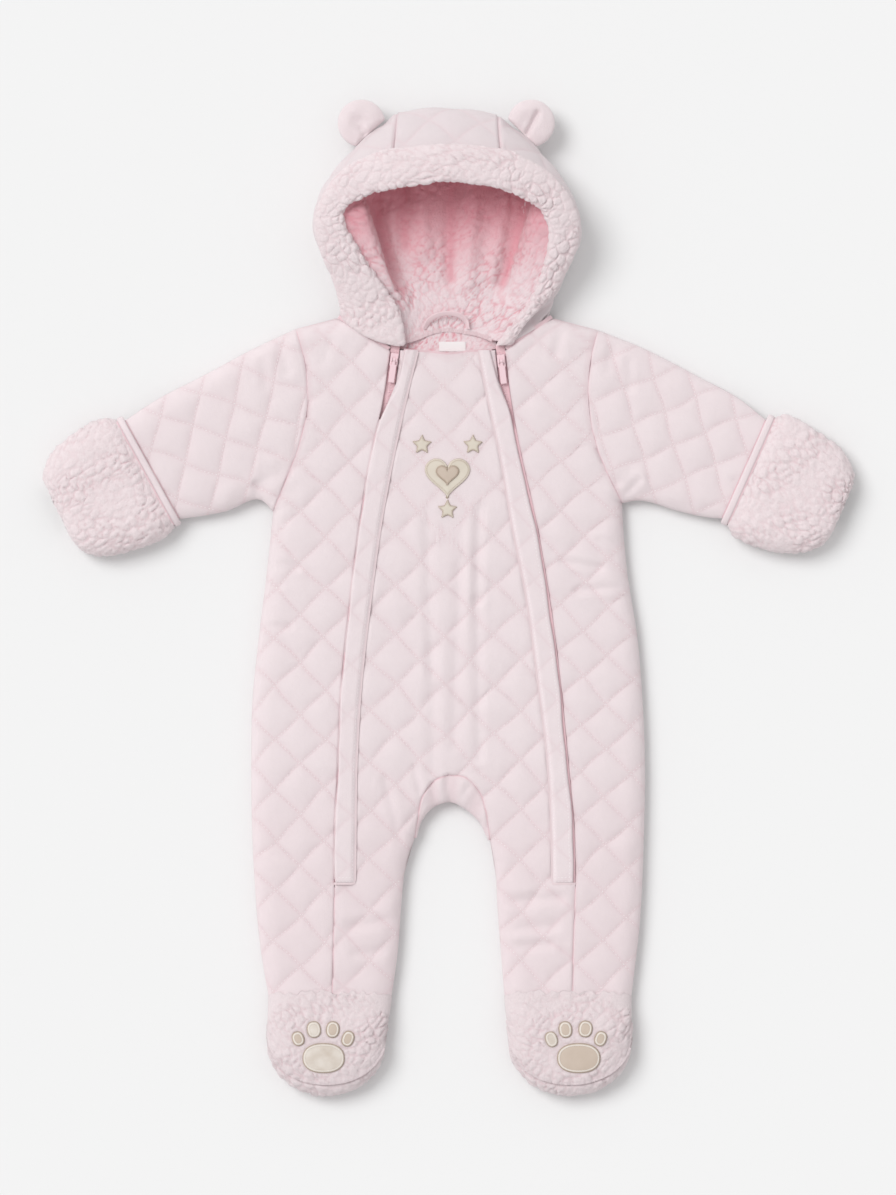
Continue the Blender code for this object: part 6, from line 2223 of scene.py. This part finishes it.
    def build_lining(self) -> None:
        """Makes the lining: a bag from the brim's inner edge under the crown and along the back."""
        inner, _, _, out, up = self.frames(np.arange(21.0))
        path = np.array(self.inside, float)
        under_crown = np.clip((path[:, 1] - inner[:, 1]) / 8.0, 0, 1)[:, None]
        start = inner + out * (5.4 * under_crown - 2.1) - up * (2.2 + 6.8 * under_crown)
        start[[0, -1], 2] = self.neck_z
        coarse = np.array([
            smooth_curve([s, p[0:3], p[3:6], [0.0, p[6], self.spine_z]], self.inside_across)
            for s, p in zip(start, path)
        ])
        coarse[..., 2] = np.maximum(coarse[..., 2], self.spine_z)
        middle = np.array(self.inside_middle)
        room = np.zeros(coarse.shape[:2])
        for x0, y0, x1, y1, _, deep in self.inside_folds:
            d = distance_to(coarse[..., :2], ((x0, y0), (x1, y1)))
            room = np.maximum(room, 0.8 * deep * bell(d / 13.0))
        hidden = coarse + outward(coarse, middle) * (self.lining_wall + room)[..., None]
        hidden[:, -1] = coarse[:, -1] - [0, 0, 1] * (self.lining_wall + 0.7 * room)[:, -1:]
        hidden[[0, -1]] = coarse[[0, -1]] - [0, 0, self.lining_wall]
        rows = Stations.between(np.arange(21.0), 18.0, 1.45)
        columns = Stations.between(np.arange(7.0), 16.0, 1.45)
        surface = lattice(coarse, rows, columns)
        surface[..., 2] = np.maximum(surface[..., 2], self.spine_z)
        lift, tone = self.lining_pile.lumps(surface)
        fold = np.zeros(surface.shape[:2])
        for x0, y0, x1, y1, width, deep in self.inside_folds:
            d = distance_to(surface[..., :2], ((x0, y0), (x1, y1))) / width
            fold -= deep * bell(d)
        fold *= eased((surface[..., 1] - 236) / 20) * eased(columns.index[None] / 1.5)
        # painted shade: darker deeper in under the crown, and in the folds' hollows
        deep_in = eased((surface[..., 1] - 245) / 95)
        tone = (0.2 + 0.8 * tone) * (1 - 0.65 * np.clip(-fold / 5.0, 0, 1)) * (1 - 0.9 * deep_in)
        _, _, _, way, _ = self.frames(rows.index)
        closer = np.clip((surface[:, :1, 1] - between_rows(inner, rows.index)[:, None, 1]) / 8.0, 0, 1)
        near_brim = 3.6 * (1 - eased(columns.index[None] / 0.7)) * (1 - closer)
        surface = surface + way[:, None] * near_brim[..., None]
        n = -outward(surface, middle)
        depth = np.maximum(lift + fold, -self.lining_wall - 1.2)
        outer = surface + n * depth[..., None]
        outer[:, -1] = surface[:, -1] + [0, 0, 1] * depth[:, -1:]
        outer[..., 2] = np.maximum(outer[..., 2], 10.4 + 0.8 * lift)
        wall = Wall().grid(outer, hidden, rows.stops, columns.stops, tone)
        piece = wall.build("hood_lining_pile", self.finishes.lining)
        settle(piece, "sherpa_lining", "hood_lining", cut=(0.26, 0.22, 0.0370))

    def build(self) -> None:
        """Makes the whole hood."""
        self.build_brim()
        self.build_shell()
        self.build_lining()


@dataclass
class Ear:
    """A stuffed ear, with a front and a back piece."""

    finishes: Finishes
    side: Side
    radius: float = 19.5
    half: float = 6.4
    z: float = 20.6
    clear: float = -0.3
    dimple: float = 2.2
    center_left: tuple = ((-71, 393), (-66, 383), (43, 40))
    center_right: tuple = ((69, 393), (66, 381), (43, -42))
    folds_left: tuple = ((-76, 395, -74, 394, 4.2, 1.2), (-71, 388, -64, 378, 3.0, 2.6))
    folds_right: tuple = ((74, 401, 62, 377, 2.4, 4.6), (66, 398, 60, 388, 4.0, 0.8))
    angles: int = 96

    def build(self) -> None:
        """Makes both pieces."""
        place = self.side.pick(self.center_left, self.center_right)
        center, base, along = (np.array(v, float) for v in place)
        out = unit(np.array([-along[1], along[0]]))
        out *= np.sign((center - base) @ out)
        a = turns(self.angles)
        way = np.stack([np.cos(a), np.sin(a)], axis=1)
        to_base = (center - base) @ out - self.clear
        radius = np.minimum(self.radius, to_base / np.maximum(-(way @ out), 1e-6))
        shares = np.sin(np.linspace(math.pi / 2, 0.04, 22))
        rings = center + way[None] * (radius[None] * shares[:, None])[..., None]
        rise = self.half * np.sqrt(np.clip(1 - shares**2, 0, 1)) + 0.8
        for name, up in (("front", 1), ("back", -1)):
            height = np.broadcast_to(rise[:, None], rings.shape[:2]).copy()
            height -= self.dimple * (1 - eased(shares / 0.75))[:, None] * (0.8 if up > 0 else 0.3)
            if up > 0:
                for x0, y0, x1, y1, width, deep in self.side.pick(self.folds_left, self.folds_right):
                    d = distance_to(rings, ((x0, y0), (x1, y1))) / width
                    height -= deep * bell(d) * eased((1.02 - shares[:, None]) / 0.25)
            height += 0.2 * Waves(16.0, 61).at(rings) * eased((1 - shares[:, None]) / 0.2)
            height = np.maximum(height, 0.6)
            skin = with_height(rings, self.z + up * (HALF_GAP + height))
            flat = with_height(rings[0], self.z + up * HALF_GAP)[None]
            node = f"ear_{name}_{self.side}"
            piece = ring_mesh(f"{node}_cloth", np.concatenate([flat, skin]), self.finishes.ear)
            settle(piece, "plain_cloth", node, fill=0.8)


# ================================================================ neck and appliques
@dataclass
class Neck:
    """The lining at the neck, its blank label and the hanger loop."""

    finishes: Finishes
    pile: Pile
    low: tuple = ((-40, 207.2), (-14, 205.1), (1, 203.6), (15, 205.3), (40.5, 207.2))
    high: tuple = (
        (-39, 210.5), (-24, 215.2), (-13, 219.6), (0, 221.6), (14, 219.9), (26, 217.6), (40, 212.0),
    )
    top: float = 12.2
    label_at: tuple = (4, 209.2)
    label_size: tuple = (22, 8.2)
    label_thick: float = 0.5
    loop: tuple = (
        (-19, 224, 14.6), (-15, 231, 17.5), (-8, 235, 20), (1, 236.3, 20.6), (9, 235, 20),
        (15, 230.5, 17.5), (17, 224, 14.6),
    )
    loop_wide: float = 4.6
    loop_thick: float = 1.2
    loop_lean: float = math.radians(35)

    def build(self) -> None:
        """Makes the lining, the label and the loop."""
        columns = Stations.between(even(5), 80.0, 1.3)
        rows = Stations.between((0.0, 0.5, 1.0), 14.0, 1.3)
        low, high = smooth_curve(self.low, columns.values), smooth_curve(self.high, columns.values)
        high = high + [0, 1.2]
        plan = low[None] + (high - low)[None] * rows.values[:, None, None]
        surface = with_height(plan, self.top)
        lift, tone = self.pile.lumps(surface)
        pressed = eased(1.6 - np.abs(plan - np.array(self.label_at)).max(axis=-1) / 8)
        outer = surface + [0, 0, 1] * (lift * 0.6 * (1 - pressed) - 0.2)[..., None]
        wall = Wall().sheet(outer, with_height(plan, OUTLINE.seam_z + GAP), rows, columns, tone)
        lining = wall.build("neck_lining_pile", self.finishes.lining)
        settle(lining, "sherpa_lining", "neck_lining", cut=(0.084, 0.020, 0.0012))
        bag = bpy.data.objects["hood_lining_pile"]
        line = smooth_curve(self.high, np.linspace(0.04, 0.96, 80)) + [0, 1.3]
        seam_line("neck_seam", line, (lining, bag), self.finishes.lining_seam, 3.4, 0.1, lower=False)
        front = bpy.data.objects["front_center_cloth"]
        line = smooth_curve(self.low, np.linspace(0.05, 0.95, 80)) - [0, 0.5]
        seam_line("neck_front", line, (front, lining), self.finishes.seam_shade, 1.8, 0.0, lower=False)
        for side in Side:
            shoulder = OUTLINE.of("shoulder", side)[1]
            line = np.linspace(ZIPS.line(np.array([206.0]), side.pick(1, 2))[0], shoulder, 60)
            z = Ground(bpy.data.objects[f"side_front_{side}_cloth"]).heights(line - [0, 2.0]) - 1.2
            line = with_height(line + [0, 0.9], z)[z > 5]
            strip = creases(f"neck_side_{side}", [line], self.finishes.seam_shade, 3.2)
            settle(strip, "quilted_cloth")
        outline = oval(self.label_at, self.label_size, 0, 64, 12.0)
        cut = (0.022, 0.010, 0.00019)
        satin = self.finishes.label
        applique("neck_label", lining, outline, self.label_thick, satin, "label_satin", (), cut=cut)
        self.build_loop()

    def build_loop(self) -> None:
        """Makes the hanger loop, a tape that stands on its edge and leans back."""
        path = smooth_curve(self.loop, even(70))
        run = unit(np.gradient(path, axis=0))
        lean = np.array([0.0, math.cos(self.loop_lean), math.sin(self.loop_lean)])
        wide = unit(lean - run * (run @ lean)[:, None])
        a = turns(20)[None, :, None]
        rings = path[:, None] + wide[:, None] * power(np.cos(a), 0.7) * self.loop_wide / 2
        rings = rings + np.cross(run, wide)[:, None] * power(np.sin(a), 0.8) * self.loop_thick / 2
        loop = ring_mesh("hanger_loop_cloth", rings, self.finishes.loop)
        settle(loop, "plain_cloth", "hanger_loop", cut=(0.010, 0.054, 0.00030))


def heart(center: Sequence, size: Sequence, count: int = 120) -> Array:
    """The outline of a plain heart."""
    t = turns(count)
    x = np.sin(t) ** 3
    y = (13 * np.cos(t) - 5 * np.cos(2 * t) - 2 * np.cos(3 * t) - np.cos(4 * t)) / 15
    return np.stack([x * size[0] / 2, y * size[1] / 2], axis=1)[::-1] + np.array(center, float)


def star(center: Sequence, wide: float, waist: float, steps: int = 6) -> Array:
    """The outline of a plain five-pointed star, point up, with softened points."""
    angles = math.pi / 2 + np.arange(11) * math.pi / 5
    radius = wide / 2 * np.where(np.arange(11) % 2, waist, 0.97)
    corners = np.stack([radius * np.cos(angles), radius * np.sin(angles)], axis=1)
    t = (np.arange(steps) / steps)[:, None]
    sides = [a + (b - a) * t for a, b in zip(corners[:-1], corners[1:])]
    return np.concatenate(sides) + np.array(center, float)


@dataclass
class Motif:
    """A plain applique on the chest: a heart on a heart, with three stars round it."""

    finishes: Finishes
    carrier: Piece
    heart: tuple = ((0, 103), (37, 34), 1.4, 2.4)  # place, size, thickness and length of the edge's stitches
    inner_heart: tuple = ((0, 104), (19, 17), 1.0, 1.7)
    stars: tuple = (("left", (-21, 128)), ("right", (21, 128)), ("low", (0, 74.5)))
    star: tuple = (16.5, 0.5, 1.2, 1.6)  # width, waist's share of it, thickness and stitches

    def build(self) -> None:
        """Makes the five patches."""
        f = self.finishes
        at, size, thick, stitch = self.heart
        edge = ((f.seam, 0.0, stitch),)
        outer = applique("motif_heart", self.carrier, heart(at, size), thick, f.motif, "motif_cloth", edge)
        at, size, thick, stitch = self.inner_heart
        edge = ((f.seam, 0.0, stitch),)
        applique("motif_heart_inner", outer, heart(at, size, 80), thick, f.pad, "pad_satin", edge)
        wide, waist, thick, stitch = self.star
        edge = ((f.seam, 0.0, stitch),)
        for place, at in self.stars:
            outline = star(at, wide, waist)
            applique(f"motif_star_{place}", self.carrier, outline, thick, f.motif, "motif_cloth", edge)


# ================================================================ studio
@dataclass
class Studio:
    """The pale floor, the soft lights and the camera above."""

    floor_size: float = 14.0
    floor_color: tuple = (0.835, 0.835, 0.835)
    camera_at: tuple = (0.0004, 0.0021, 5.492)
    lens: float = 200.0
    sensor: float = 36.0
    sun_from: tuple = (-0.60, 0.46, 1.0)
    sun_strength: float = 1.62
    sun_spread: float = 32.0
    sky: float = 0.675

    def build(self) -> None:
        """Makes the floor, the lights, the sky and the camera."""
        half = self.floor_size / 2
        corners = [(x * half, y * half, -0.0004) for x, y in ((-1, -1), (1, -1), (1, 1), (-1, 1))]
        mesh = bpy.data.meshes.new("floor")
        mesh.from_pydata(corners, [], [(0, 1, 2, 3)])
        n = Nodes("floor_paper")
        n.set(Roughness=0.95, Specular_IOR_Level=0.1)
        n.color(n.mixed(n.noise(400.0, 1.0), self.floor_color, tuple(c * 0.995 for c in self.floor_color)))
        mesh.materials.append(n.material)
        put("floor", mesh)

        world = bpy.data.worlds.new("sky")
        world.use_nodes = True
        sky = world.node_tree.nodes["Background"].inputs
        sky["Color"].default_value = (1, 1, 1, 1)
        sky["Strength"].default_value = self.sky
        bpy.context.scene.world = world

        light = bpy.data.lights.new("window", "SUN")
        light.energy, light.angle = self.sun_strength, math.radians(self.sun_spread)
        put("window", light).rotation_euler = Vector(self.sun_from).to_track_quat("Z", "Y").to_euler()

        camera = put("camera", bpy.data.cameras.new("camera"))
        camera.data.lens, camera.data.sensor_width = self.lens, self.sensor
        camera.data.clip_end = 100.0
        camera.location = self.camera_at
        bpy.context.scene.camera = camera
        bpy.context.scene.view_settings.view_transform = "Standard"


def main() -> None:
    """Builds the suit piece by piece, then its studio."""
    logging.basicConfig(level=logging.INFO, format="%(message)s")
    finishes = Finishes()
    pile = Pile(7.8, 4.0, 7)
    Trunk(finishes).build()
    for side in Side:
        Zip(finishes, side).build()
        Sleeve(finishes, side).build()
        Cuff(finishes, side, pile).build()
        Bootie(finishes, side, pile).build()
        Ear(finishes, side).build()
    Hood(finishes, pile, Pile(8.0, 3.4, 9)).build()
    Neck(finishes, Pile(5.0, 2.0, 11)).build()
    Motif(finishes, bpy.data.objects["front_center_cloth"]).build()
    Studio().build()


if __name__ == "__main__":
    main()
